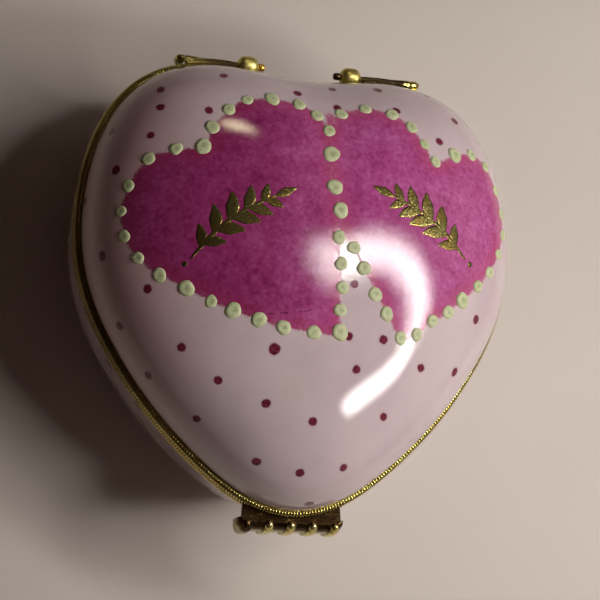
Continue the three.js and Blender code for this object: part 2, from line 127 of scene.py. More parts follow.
def dome_normals(xy):
    xy = np.asarray(xy, float)
    e = 0.02
    x, y = xy[..., 0], xy[..., 1]
    gx = (dome_z(x + e, y) - dome_z(x - e, y)) / (2 * e)
    gy = (dome_z(x, y + e) - dome_z(x, y - e)) / (2 * e)
    n = np.stack([-gx, -gy, np.ones_like(gx)], -1)
    return n / np.linalg.norm(n, axis=-1, keepdims=True)


def dome_point(x, y):
    return dome_points([[x, y]])[0]


def dome_normal(x, y):
    return dome_normals([[x, y]])[0]


# ------------------------------------------------------------------ mesh helpers
def make(name, verts, faces, materials, body, attrs=None, index=None, smooth=True, angle=None, corners=None):
    """verts in mm from the middle of the outline and the seam; faces a list of arrays of quads or triangles"""
    v = np.asarray(verts, float) + np.array([0, SHIFT, SEAM])
    me = bpy.data.meshes.new(name)
    me.vertices.add(len(v))
    me.vertices.foreach_set("co", (v * MM).astype(np.float32).ravel())
    loops = np.concatenate([np.asarray(f).ravel() for f in faces])
    sizes = np.concatenate([np.full(len(f), np.asarray(f).shape[1]) for f in faces])
    me.loops.add(len(loops))
    me.loops.foreach_set("vertex_index", loops.astype(np.int32))
    me.polygons.add(len(sizes))
    starts = np.r_[0, np.cumsum(sizes)[:-1]]
    me.polygons.foreach_set("loop_start", starts.astype(np.int32))
    if index is not None:
        me.polygons.foreach_set("material_index", np.asarray(index, np.int32))
    me.update(calc_edges=True)
    for m in (materials if isinstance(materials, (list, tuple)) else [materials]):
        me.materials.append(m)
    for key, data in (attrs or {}).items():
        data = np.asarray(data, np.float32)
        if data.ndim == 1:
            a = me.attributes.new(key, "FLOAT", "POINT")
            a.data.foreach_set("value", data)
        else:
            a = me.attributes.new(key, "FLOAT_VECTOR", "POINT")
            a.data.foreach_set("vector", data.ravel())
    for key, data in (corners or {}).items():
        data = np.asarray(data, np.float32)
        a = me.attributes.new(key, "FLOAT" if data.ndim == 1 else "FLOAT_VECTOR", "CORNER")
        a.data.foreach_set("value" if data.ndim == 1 else "vector", data.ravel())
    me.validate()
    ob = bpy.data.objects.new(name, me)
    bpy.context.scene.collection.objects.link(ob)
    if smooth and len(me.polygons):
        me.polygons.foreach_set("use_smooth", np.ones(len(me.polygons), bool))
    if angle is not None:
        sharpen(me, angle)
    if body:
        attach(ob, body)
    return ob


def tidy(ob):
    """faces of every closed shell turned outwards"""
    bm = bmesh.new()
    bm.from_mesh(ob.data)
    bmesh.ops.recalc_face_normals(bm, faces=bm.faces)
    bm.to_mesh(ob.data)
    bm.free()
    return ob


def sharpen(me, degrees):
    bm = bmesh.new()
    bm.from_mesh(me)
    lim = math.radians(degrees)
    for e in bm.edges:
        if len(e.link_faces) == 2 and e.calc_face_angle(0.0) > lim:
            e.smooth = False
    bm.to_mesh(me)
    bm.free()


def ring_faces(n, rows, closed_rows=True):
    """quads of a grid of n columns (closed) by rows; vertex = column * rows + row"""
    i = np.arange(n)[:, None]
    j = np.arange(rows if closed_rows else rows - 1)[None, :]
    a = i * rows + j
    b = ((i + 1) % n) * rows + j
    c = ((i + 1) % n) * rows + (j + 1) % rows
    d = i * rows + (j + 1) % rows
    return np.stack([a, b, c, d], -1).reshape(-1, 4)


def outward(verts, faces):
    v = np.asarray(verts)
    vol = 0.0
    for f in faces:
        f = np.asarray(f)
        for k in range(1, f.shape[1] - 1):
            vol += np.einsum("ij,ij->i", v[f[:, 0]], np.cross(v[f[:, k]], v[f[:, k + 1]])).sum()
    return faces if vol > 0 else [np.asarray(f)[:, ::-1] for f in faces]


def ring_mesh(section, n, ts=None):
    """section: (k, 2) array of inset and height"""
    s = np.asarray(section, float)
    t = stations(n) if ts is None else ts
    x, y = edge(t[:, None], s[None, :, 0])
    z = np.broadcast_to(s[None, :, 1], x.shape)
    v = np.stack([x, y, z], -1).reshape(-1, 3)
    f = [ring_faces(n, len(s))]
    return v, outward(v, f)


def rounded(points, r, seg=3):
    """rounds the corners of a closed polygon of (x, z) points"""
    p = np.asarray(points, float)
    out = []
    for i in range(len(p)):
        a, b, c = p[i - 1], p[i], p[(i + 1) % len(p)]
        u, w = a - b, c - b
        lu, lw = np.linalg.norm(u), np.linalg.norm(w)
        q = min(r if np.isscalar(r) else r[i], lu * 0.45, lw * 0.45)
        if q <= 1e-6:
            out.append(b)
            continue
        p0, p1 = b + u / lu * q, b + w / lw * q
        for k in range(seg + 1):
            h = k / seg
            out.append((1 - h) ** 2 * p0 + 2 * h * (1 - h) * b + h * h * p1)
    return np.array(out)


def catmull(points, n, closed=False):
    p = np.asarray(points, float)
    m = len(p)
    out = []
    spans = m if closed else m - 1
    for k in range(n):
        u = k / (n if closed else n - 1) * spans
        i = min(int(u), spans - 1)
        f = u - i
        if closed:
            a, b, c, d = (p[(i + q) % m] for q in (-1, 0, 1, 2))
        else:
            a, b, c, d = p[max(i - 1, 0)], p[i], p[min(i + 1, m - 1)], p[min(i + 2, m - 1)]
        out.append(0.5 * ((2 * b) + (-a + c) * f + (2 * a - 5 * b + 4 * c - d) * f * f + (-a + 3 * b - 3 * c + d) * f ** 3))
    return np.array(out)


# ------------------------------------------------------------------ materials
class Tree:
    def __init__(self, name):
        self.m = bpy.data.materials.new(name)
        self.m.use_nodes = True
        self.t = self.m.node_tree
        self.t.nodes.clear()
        self.out = self.t.nodes.new("ShaderNodeOutputMaterial")
        self.b = self.t.nodes.new("ShaderNodeBsdfPrincipled")
        self.t.links.new(self.b.outputs[0], self.out.inputs[0])
        self.co = self.t.nodes.new("ShaderNodeTexCoord").outputs["Object"]

    def put(self, socket, value):
        if value is None:
            return
        if isinstance(value, bpy.types.NodeSocket):
            self.t.links.new(value, socket)
        elif isinstance(value, (tuple, list)) and len(value) == 3 and socket.type == "RGBA":
            socket.default_value = (*value, 1)
        else:
            socket.default_value = value

    def math(self, op, a, b=None, c=None, clamp=False):
        n = self.t.nodes.new("ShaderNodeMath")
        n.operation = op
        n.use_clamp = clamp
        for s, v in zip(n.inputs, (a, b, c)):
            self.put(s, v)
        return n.outputs[0]

    def vmath(self, op, a, b=None, out=0, scale=None):
        n = self.t.nodes.new("ShaderNodeVectorMath")
        n.operation = op
        self.put(n.inputs[0], a)
        if b is not None:
            self.put(n.inputs[1], b)
        if scale is not None:
            self.put(n.inputs["Scale"], scale)
        return n.outputs[out]

    def attr(self, name, out="Fac"):
        n = self.t.nodes.new("ShaderNodeAttribute")
        n.attribute_name = name
        return n.outputs[out]

    def noise(self, per_mm, detail=2.0, rough=0.5, out="Fac", vec=None, distortion=0.0, offset=None):
        n = self.t.nodes.new("ShaderNodeTexNoise")
        n.inputs["Scale"].default_value = per_mm * 1000.0
        n.inputs["Detail"].default_value = detail
        n.inputs["Roughness"].default_value = rough
        n.inputs["Distortion"].default_value = distortion
        v = vec or self.co
        if offset:
            v = self.vmath("ADD", v, offset)
        self.t.links.new(v, n.inputs["Vector"])
        return n.outputs[out]

    def voronoi(self, per_mm, feature="F1", out="Distance", rand=1.0, vec=None):
        n = self.t.nodes.new("ShaderNodeTexVoronoi")
        n.feature = feature
        n.inputs["Scale"].default_value = per_mm * 1000.0
        n.inputs["Randomness"].default_value = rand
        self.t.links.new(vec or self.co, n.inputs["Vector"])
        return n.outputs[out]

    def ramp(self, fac, low, high, a=0.0, b=1.0, smooth=True):
        n = self.t.nodes.new("ShaderNodeMapRange")
        n.interpolation_type = "SMOOTHSTEP" if smooth else "LINEAR"
        self.put(n.inputs["Value"], fac)
        for key, v in (("From Min", low), ("From Max", high), ("To Min", a), ("To Max", b)):
            self.put(n.inputs[key], v)
        return n.outputs[0]

    def mix(self, fac, a, b, blend="MIX"):
        n = self.t.nodes.new("ShaderNodeMix")
        n.data_type = "RGBA"
        n.blend_type = blend
        self.put(n.inputs[0], fac)
        self.put(n.inputs[6], a)
        self.put(n.inputs[7], b)
        return n.outputs[2]

    def mixf(self, fac, a, b):
        n = self.t.nodes.new("ShaderNodeMix")
        n.data_type = "FLOAT"
        self.put(n.inputs[0], fac)
        self.put(n.inputs[2], a)
        self.put(n.inputs[3], b)
        return n.outputs[0]

    def bump(self, height, distance_mm, strength=1.0, normal=None):
        n = self.t.nodes.new("ShaderNodeBump")
        n.inputs["Strength"].default_value = strength
        n.inputs["Distance"].default_value = distance_mm * MM
        self.put(n.inputs["Height"], height)
        if normal is not None:
            self.put(n.inputs["Normal"], normal)
        return n.outputs[0]

    def set(self, **kw):
        names = {"color": "Base Color", "metal": "Metallic", "rough": "Roughness", "normal": "Normal", "coat": "Coat Weight",
                 "coat_rough": "Coat Roughness", "ior": "IOR", "spec": "Specular IOR Level", "sss": "Subsurface Weight",
                 "aniso": "Anisotropic", "coat_normal": "Coat Normal"}
        for k, v in kw.items():
            self.put(self.b.inputs[names[k]], v)
        return self.m


LILAC = (0.640, 0.520, 0.545)
LILAC_DEEP = (0.585, 0.455, 0.490)
WHITE = (0.740, 0.700, 0.690)
MAGENTA = (0.440, 0.078, 0.262)
MAGENTA_DARK = (0.330, 0.045, 0.180)
MAGENTA_LIGHT = (0.520, 0.130, 0.350)
MAGENTA_RED = (0.470, 0.070, 0.170)
BURGUNDY = (0.095, 0.010, 0.024)


def glaze_normal(t, strength=1.0):
    slow = t.noise(0.55, 2.0, 0.5)
    peel = t.noise(2.6, 1.0, 0.5, offset=(0.013, 0.007, 0.021))
    grain = t.noise(8.0, 2.0, 0.7, offset=(0.031, 0.017, 0.002))
    n = t.bump(slow, 0.0045 * strength)
    n = t.bump(peel, 0.0016 * strength, normal=n)
    return t.bump(grain, 0.0034 * strength, normal=n)


def ground_colour(t, a, b):
    cloud = t.noise(0.11, 3.0, 0.55)
    fine = t.noise(1.3, 3.0, 0.65, offset=(0.05, 0.02, 0.01))
    f = t.math("ADD", t.ramp(cloud, 0.35, 0.68), t.math("MULTIPLY", t.math("SUBTRACT", fine, 0.5), 0.5))
    return t.mix(t.math("MULTIPLY", f, 1.0, clamp=True), a, b)


def dots_over(t, colour):
    """flat burgundy dots with a faint halo: 'dotv' is the way from the nearest dot's middle, 'dotr' its radius"""
    v = t.attr("dotv", "Vector")
    wob = t.noise(1.1, 2.0, 0.6, offset=(0.2, 0.1, 0.4))
    d = t.math("SUBTRACT", t.vmath("LENGTH", v, out=1), t.math("MULTIPLY", t.math("SUBTRACT", wob, 0.5), 0.34))
    d = t.math("SUBTRACT", d, t.attr("dotr"))
    mott = t.noise(4.5, 2.0, 0.6, offset=(0.7, 0.4, 0.2))
    dark = t.mix(t.ramp(mott, 0.36, 0.62), BURGUNDY, (0.205, 0.028, 0.060))
    halo = t.math("MULTIPLY", t.ramp(d, 0.30, 0.0), 0.30)
    colour = t.mix(halo, colour, (0.50, 0.27, 0.32))
    return t.mix(t.ramp(d, 0.085, -0.055), colour, dark)


def lid_material():
    t = Tree("porcelain_painted_lid")
    ground = ground_colour(t, LILAC, LILAC_DEEP)
    # a faint yellow stain in the glaze, as on the old box
    stain = t.vmath("DISTANCE", t.co, (-0.0032 , -0.0122, 0.0270), out=1)
    stain_n = t.math("ADD", t.math("MULTIPLY", stain, 1000.0), t.math("MULTIPLY", t.noise(0.5, 2.0), 2.4))
    ground = t.mix(t.math("MULTIPLY", t.ramp(stain_n, 3.4, 1.2), 0.22), ground, (0.60, 0.49, 0.36))
    ground = dots_over(t, ground)
    # painted shade: the ground darkened and reddened towards the left side, away from the lamp
    left_shade_xyz = t.t.nodes.new("ShaderNodeSeparateXYZ")
    t.t.links.new(t.co, left_shade_xyz.inputs[0])
    ground = t.mix(t.ramp(left_shade_xyz.outputs[0], -0.009, -0.023), ground, t.mix(1.0, ground, (0.90, 0.72, 0.70), "MULTIPLY"))

    # sponged hearts; 'heart' is the distance inside the outline in mm (negative outside)
    h = t.attr("heart")
    wob = t.noise(0.75, 3.0, 0.62, offset=(0.3, 0.3, 0.1))
    grain = t.noise(5.0, 2.0, 0.7, offset=(0.11, 0.05, 0.3))
    d = t.math("ADD", h, t.math("MULTIPLY", t.math("SUBTRACT", wob, 0.5), 0.85))
    d = t.math("ADD", d, t.math("MULTIPLY", t.math("SUBTRACT", grain, 0.5), 0.42))
    cover = t.ramp(d, -0.16, 0.20)
    blot = t.noise(0.42, 3.0, 0.6, offset=(0.6, 0.15, 0.33))
    spong = t.noise(2.1, 3.0, 0.7, offset=(0.16, 0.35, 0.03))
    cells = t.voronoi(1.5, "F1")
    f = t.math("ADD", t.math("MULTIPLY", t.math("SUBTRACT", blot, 0.5), 1.5), t.math("MULTIPLY", t.math("SUBTRACT", spong, 0.5), 1.9))
    f = t.math("ADD", f, t.math("MULTIPLY", t.math("SUBTRACT", cells, 0.45), 0.35))
    f = t.math("ADD", f, 0.5, clamp=True)
    paint = t.mix(t.ramp(f, 0.05, 0.55), MAGENTA_DARK, MAGENTA)
    paint = t.mix(t.ramp(f, 0.50, 1.0), paint, MAGENTA_LIGHT)
    rim = t.ramp(t.math("ADD", d, t.math("MULTIPLY", t.math("SUBTRACT", blot, 0.5), 1.6)), 2.3, 0.1)
    paint = t.mix(t.math("MULTIPLY", rim, 0.62), paint, MAGENTA_RED)
    # the thin wash at the very edge lets the ground through
    thin = t.math("MULTIPLY", t.ramp(d, 0.75, 0.0), t.ramp(spong, 0.38, 0.66))
    paint = t.mix(t.math("MULTIPLY", thin, 0.5), paint, t.mix(0.5, MAGENTA_RED, LILAC_DEEP))
    # one fine dark brush scratch
    sc = t.attr("scratch", "Vector")
    sep = t.t.nodes.new("ShaderNodeSeparateXYZ")
    t.t.links.new(sc, sep.inputs[0])
    wander = t.math("ADD", sep.outputs[1], t.math("MULTIPLY", t.math("SUBTRACT", t.noise(0.9, 2.0), 0.5), 0.55))
    line = t.math("MULTIPLY", t.ramp(t.math("ABSOLUTE", wander), 0.09, 0.02), t.ramp(t.math("ABSOLUTE", sep.outputs[0]), 2.9, 2.2))
    line = t.math("MULTIPLY", line, t.ramp(t.noise(3.0, 2.0), 0.38, 0.58))
    paint = t.mix(t.math("MULTIPLY", line, 0.85), paint, (0.085, 0.010, 0.07))
    # painted shade: the magenta darkened towards the left side, away from the lamp
    place = t.t.nodes.new("ShaderNodeSeparateXYZ")
    t.t.links.new(t.co, place.inputs[0])
    deep = t.ramp(t.math("ADD", place.outputs[0], t.math("MULTIPLY", t.math("SUBTRACT", blot, 0.5), 0.004)), 0.0015, -0.0100)
    paint = t.mix(deep, paint, t.mix(1.0, paint, (0.60, 0.36, 0.48), "MULTIPLY"))
    colour = t.mix(cover, ground, paint)
    # stray sponge specks just outside the outline
    speck = t.math("MULTIPLY", t.ramp(t.noise(3.4, 1.0, 0.5, offset=(0.9, 0.8, 0.1)), 0.66, 0.74), t.ramp(h, -1.1, -0.15))
    speck = t.math("MULTIPLY", speck, t.ramp(h, 0.4, -0.1))
    colour = t.mix(t.math("MULTIPLY", speck, 0.45), colour, MAGENTA_RED)
    colour = t.mix(t.attr("inside"), colour, ground_colour(t, WHITE, (0.70, 0.655, 0.65)))
    bump = glaze_normal(t, 1.5)
    bump = t.bump(cover, 0.012, normal=bump)
    rough = t.mixf(cover, 0.075, 0.080)
    return t.set(color=colour, rough=rough, ior=1.5, spec=0.42, normal=bump, coat=0.45, coat_rough=0.04, coat_normal=bump)


def base_material():
    t = Tree("porcelain_glazed_base")
    ground = dots_over(t, ground_colour(t, LILAC, LILAC_DEEP))
    inner = ground_colour(t, WHITE, (0.70, 0.655, 0.65))
    colour = t.mix(t.attr("inside"), ground, inner)
    # bare biscuit where the foot ring was wiped before firing
    bare = t.attr("bare")
    colour = t.mix(bare, colour, t.mix(t.ramp(t.noise(3.0, 3.0), 0.3, 0.7), (0.60, 0.56, 0.52), (0.68, 0.65, 0.62)))
    bump = glaze_normal(t)
    rough = t.mixf(bare, 0.14, 0.85)
    return t.set(color=colour, rough=rough, ior=1.5, spec=0.42, normal=bump, coat=t.mixf(bare, 0.45, 0.0), coat_rough=0.045, coat_normal=bump)


def brass_material(name, tone=(0.790, 0.700, 0.255), rough=0.19, grooves=False, scratch=1.0, kind=None):
    t = Tree(name)
    place = t.t.nodes.new("ShaderNodeSeparateXYZ")
    t.t.links.new(t.co, place.inputs[0])
    px, py = place.outputs[0], place.outputs[1]
    cloud = t.noise(0.45, 4.0, 0.6)
    tarn = t.noise(1.7, 4.0, 0.7, offset=(0.3, 0.8, 0.2))
    warm = (tone[0] * 0.86, tone[1] * 0.78, tone[2] * 0.58)
    dull = (tone[0] * 0.45, tone[1] * 0.38, tone[2] * 0.42)
    colour = t.mix(t.ramp(cloud, 0.35, 0.70), tone, warm)
    spots = t.ramp(tarn, 0.60, 0.76)
    colour = t.mix(t.math("MULTIPLY", spots, 0.55), colour, dull)
    if grooves:
        g = t.math("POWER", t.attr("groove"), 1.6)
        colour = t.mix(t.math("MULTIPLY", g, 0.88), colour, (0.065, 0.040, 0.014))
        # painted shade, partly tarnish: the brass darkened along the left side, away from the lamp
        left_side_shade = t.math("MULTIPLY", t.ramp(px, -0.012, -0.022), t.ramp(py, 0.019, 0.012))
        left_side_shade = t.math("MULTIPLY", left_side_shade, t.ramp(t.noise(0.25, 2.0), 0.25, 0.55, 0.75, 1.0))
        colour = t.mix(t.math("MULTIPLY", left_side_shade, 0.85), colour, (0.120, 0.072, 0.030))
    mx = t.math("ABSOLUTE", px)
    if kind == "hinge":
        # painted dark reflection with tarnish on the bar, pale satin knuckles, the right outer tip lighter, and a
        # painted highlight on the left bar's outer end
        ball = t.math("MULTIPLY", t.ramp(mx, 0.00488, 0.00494), t.ramp(mx, 0.00722, 0.00716))
        tip = t.math("MULTIPLY", t.ramp(px, 0.0122, 0.0133), 1.0)
        left_end_highlight = t.math("MULTIPLY", t.ramp(px, -0.0095, -0.0118), 0.30)
        wear_and_highlight = t.math("MAXIMUM", t.math("MAXIMUM", ball, tip), left_end_highlight)
        dark = t.mix(t.ramp(tarn, 0.35, 0.65), (0.130, 0.090, 0.040), (0.235, 0.165, 0.066))
        colour = t.mix(wear_and_highlight, dark, colour)
        rough = t.mixf(ball, rough, 0.40)
    if kind == "clasp":
        # painted shade and dark reflection, partly patina: the metal between and above the ribs darkened; the leftmost
        # rib is darkened as painted shade, the others and part of the lower edge keep the brass tone
        u = t.math("DIVIDE", px, RIB_PITCH * MM)
        off = t.math("ABSOLUTE", t.math("SUBTRACT", u, t.math("ROUND", u)))
        off = t.math("ADD", off, t.math("MULTIPLY", t.math("SUBTRACT", t.noise(1.6, 2.0), 0.5), 0.10))
        rib = t.math("MULTIPLY", t.ramp(off, 0.225, 0.165), t.ramp(py, -0.02525, -0.02545))
        rib = t.math("MULTIPLY", rib, t.ramp(px, -0.0042, -0.0036))
        dark = t.mix(t.ramp(tarn, 0.40, 0.70), (0.050, 0.028, 0.012), (0.120, 0.070, 0.026))
        lower = t.ramp(place.outputs[2], (SEAM - 0.05) * MM, (SEAM - 0.9) * MM)
        wear_and_highlight = t.math("MAXIMUM", rib, t.math("MULTIPLY", lower, t.ramp(cloud, 0.25, 0.75, 0.35, 0.60)))
        colour = t.mix(wear_and_highlight, dark, colour)
    if kind == "pin":
        # a coppery tail on one side, a dark one on the other
        tail = t.ramp(mx, 0.00490, 0.00480)
        colour = t.mix(t.math("MULTIPLY", tail, t.ramp(px, 0.0, -0.001)), colour, (0.820, 0.470, 0.090))
        colour = t.mix(t.math("MULTIPLY", tail, t.ramp(px, 0.0, 0.001)), colour, (0.090, 0.052, 0.026))
    # fine polishing scratches, drawn out along the box
    mp = t.t.nodes.new("ShaderNodeMapping")
    mp.inputs["Scale"].default_value = (0.25, 1.0, 3.4)
    t.t.links.new(t.co, mp.inputs[0])
    hair = t.noise(7.0, 3.0, 0.7, vec=mp.outputs[0])
    r = t.math("ADD", rough, t.math("MULTIPLY", t.math("SUBTRACT", hair, 0.5), 0.16))
    r = t.math("ADD", r, t.math("MULTIPLY", spots, 0.20), clamp=True)
    n = t.bump(hair, 0.0016 * scratch)
    n = t.bump(t.noise(1.1, 3.0, 0.6, offset=(0.1, 0.2, 0.5)), 0.010 * scratch, normal=n)
    return t.set(color=colour, metal=1.0, rough=r, normal=n)


def gold_material():
    t = Tree("fired_gold")
    grain = t.noise(7.5, 2.0, 0.75)
    cloud = t.noise(0.35, 3.0, 0.6, offset=(0.4, 0.1, 0.9))
    bright = t.mix(t.ramp(cloud, 0.40, 0.66), (0.47, 0.44, 0.145), (0.52, 0.33, 0.07))
    colour = t.mix(t.ramp(grain, 0.48, 0.68), (0.062, 0.048, 0.014), bright)
    pit = t.voronoi(5.5, "F1")
    n = t.bump(grain, 0.0050)
    n = t.bump(t.ramp(pit, 0.0, 0.5), 0.0025, normal=n)
    return t.set(color=colour, metal=0.92, rough=t.mixf(t.ramp(grain, 0.4, 0.6), 0.50, 0.26), normal=n)


def enamel_material():
    t = Tree("enamel_green")
    cloud = t.noise(1.2, 3.0, 0.6)
    speck = t.noise(4.2, 3.0, 0.75, offset=(0.4, 0.2, 0.8))
    colour = t.mix(t.ramp(cloud, 0.35, 0.68), (0.500, 0.550, 0.300), (0.610, 0.640, 0.400))
    colour = t.mix(t.math("MULTIPLY", t.ramp(speck, 0.50, 0.36), 0.40), colour, (0.290, 0.330, 0.150))
    core = t.attr("core")
    colour = t.mix(t.math("MULTIPLY", core, t.ramp(speck, 0.70, 0.40)), colour, (0.30, 0.37, 0.17))
    n = t.bump(speck, 0.011)
    n = t.bump(t.noise(9.0, 2.0, 0.6), 0.003, normal=n)
    return t.set(color=colour, rough=t.mixf(t.ramp(cloud, 0.3, 0.7), 0.42, 0.56), ior=1.5, spec=0.35, normal=n)


def cement_material():
    t = Tree("cement_bed")
    colour = t.mix(t.ramp(t.noise(1.5, 4.0), 0.3, 0.7), (0.62, 0.58, 0.50), (0.72, 0.69, 0.62))
    return t.set(color=colour, rough=0.9, normal=t.bump(t.noise(4.0, 4.0, 0.7), 0.05))


MAT_LID = lid_material()
MAT_BASE = base_material()
MAT_BEAD = brass_material("brass_reeded", grooves=True)
MAT_BRASS = brass_material("brass_polished")
MAT_PIN = brass_material("brass_pin", tone=(0.72, 0.60, 0.20), rough=0.26, kind="pin")
MAT_HINGE = brass_material("brass_hinge", rough=0.24, kind="hinge")
MAT_CLASP = brass_material("brass_clasp", tone=(0.88, 0.82, 0.36), rough=0.24, kind="clasp")
MAT_GOLD = gold_material()
MAT_ENAMEL = enamel_material()
MAT_CEMENT = cement_material()

# ------------------------------------------------------------------ decoration, plan positions in mm
# raised enamel dots: x, y, radius
GREEN_L = [(-10.55, 17.1, 0.74), (-8.46, 18.49, 0.66), (-5.62, 18.98, 0.88), (-2.59, 18.69, 0.78), (-0.75, 17.52, 0.75), (0.41, 15.77, 0.73),
           (0.44, 13.01, 0.95), (0.65, 9.28, 0.89), (1.25, 6.75, 0.88), (1.04, 3.81, 0.75), (1.31, 0.99, 0.73), (1.51, -1.56, 0.71),
           (1.3, -3.92, 0.73), (1.37, -6.24, 0.91), (-1.47, -6.45, 0.78), (-4.72, -6.14, 0.8), (-7.31, -5.46, 0.82), (-10.0, -4.65, 0.87),
           (-12.25, -3.81, 0.66), (-14.76, -2.54, 0.86), (-17.42, -1.22, 0.76), (-19.54, 0.57, 0.68), (-20.88, 2.9, 0.68), (-21.26, 5.59, 0.62),
           (-20.65, 8.28, 0.7), (-18.78, 11.17, 0.73), (-16.12, 12.28, 0.71), (-13.39, 12.62, 0.89), (-12.4, 14.88, 0.8)]
GREEN_R = [(2.07, 18.05, 0.75), (4.94, 19.02, 0.72), (7.96, 18.66, 0.78), (10.05, 17.34, 0.74), (11.42, 15.42, 0.61), (12.6, 13.54, 0.67),
           (15.24, 14.78, 0.9), (17.7, 15.33, 0.73), (19.84, 14.45, 0.67), (21.3, 11.95, 0.68), (22.05, 9.4, 0.66), (22.1, 6.9, 0.66),
           (21.2, 4.52, 0.66), (19.7, 2.19, 0.71), (17.98, 0.35, 0.71), (15.86, -1.48, 0.91), (14.1, -2.96, 0.77), (12.1, -4.1, 0.72),
           (10.25, -5.72, 0.72), (8.32, -6.26, 0.74), (6.56, -3.89, 0.8), (5.2, -1.95, 0.8), (3.86, 0.71, 0.8), (2.7, 2.81, 0.75)]
# outlines of the painted hearts; they meet along the line of dots between them
HEART_L = [(x, y) for x, y, r in GREEN_L]
HEART_R = [(x, y) for x, y, r in GREEN_R] + [(1.55, 4.2), (1.05, 6.75), (0.45, 9.28), (0.25, 13.01), (0.55, 16.2)]
# flat burgundy dots
BURG = [(-10.49, 21.54), (-17.22, 19.45), (-17.45, 17.15), (-12.66, 16.84), (-18.56, 13.84), (-21.73, 10.13), (-21.9, 14.85), (-24.1, 7.5),
        (-22.64, 1.08), (-18.4, -2.61), (-20.41, -6.01), (-14.74, -8.43), (-17.2, -10.96), (-10.9, -11.64), (-12.25, -15.38), (-5.89, -13.89),
        (-5.55, -8.36), (-0.91, -15.52), (-5.95, -19.62), (-1.34, -20.61), (0.87, -23.5), (3.35, -19.88), (7.12, -14.5), (3.41, -9.95),
        (2.36, -6.58), (6.3, -6.63), (11.11, -9.08), (15.94, -8.94), (18.07, -3.14), (2.84, -1.03), (-2.44, 20.23), (1.76, 18.83),
        (1.9, 21.55), (7.2, 22.05), (8.56, 19.22), (13.4, 16.07), (16.2, 19.35),
        # the side away from the view
        (23.3, 0.4), (21.3, -5.0), (13.46, 22.34), (20.3, 18.26), (22.9, 13.46), (-3.47, 22.95), (-14.59, 22.75), (16.9, -12.2), (8.1, -20.6)]


def dot_corners(v, faces, centres, radii, rest=0.6):
    """for each corner of each face: the way from the middle of the dot nearest to the face, and that dot's radius"""
    vec, rad = [], []
    for f in faces:
        mid = v[f].mean(1)
        k = np.zeros(len(f), int)
        for lo in range(0, len(f), 20000):
            part = mid[lo:lo + 20000]
            k[lo:lo + 20000] = (np.linalg.norm(part[:, None, :] - centres[None], axis=2) - radii[None]).argmin(1)
        vec.append((v[f] - centres[k][:, None, :]).reshape(-1, 3))
        rad.append(np.repeat(radii[k], f.shape[1]))
    return np.vstack(vec), np.concatenate(rad)


def inside_distance(xy, poly):
    """distance inside a closed dense polygon, negative outside"""
    p = xy.astype(np.float32)
    a = poly.astype(np.float32)
    b = np.roll(a, -1, axis=0)
    out = np.full(len(p), -9.0, np.float32)
    lo, hi = a.min(0) - 3.0, a.max(0) + 3.0
    near = np.where(((p > lo) & (p < hi)).all(1))[0]
    for k in range(0, len(near), 6000):
        i = near[k:k + 6000]
        q = p[i]
        d = np.sqrt(((q[:, 0:1] - a[None, :, 0]) ** 2 + (q[:, 1:2] - a[None, :, 1]) ** 2).min(1))
        cross = ((a[None, :, 1] > q[:, 1:2]) != (b[None, :, 1] > q[:, 1:2])) & (
            q[:, 0:1] < (b[None, :, 0] - a[None, :, 0]) * (q[:, 1:2] - a[None, :, 1]) / (b[None, :, 1] - a[None, :, 1] + 1e-9) + a[None, :, 0])
        out[i] = np.where(cross.sum(1) % 2 == 1, d, -d)
    return out


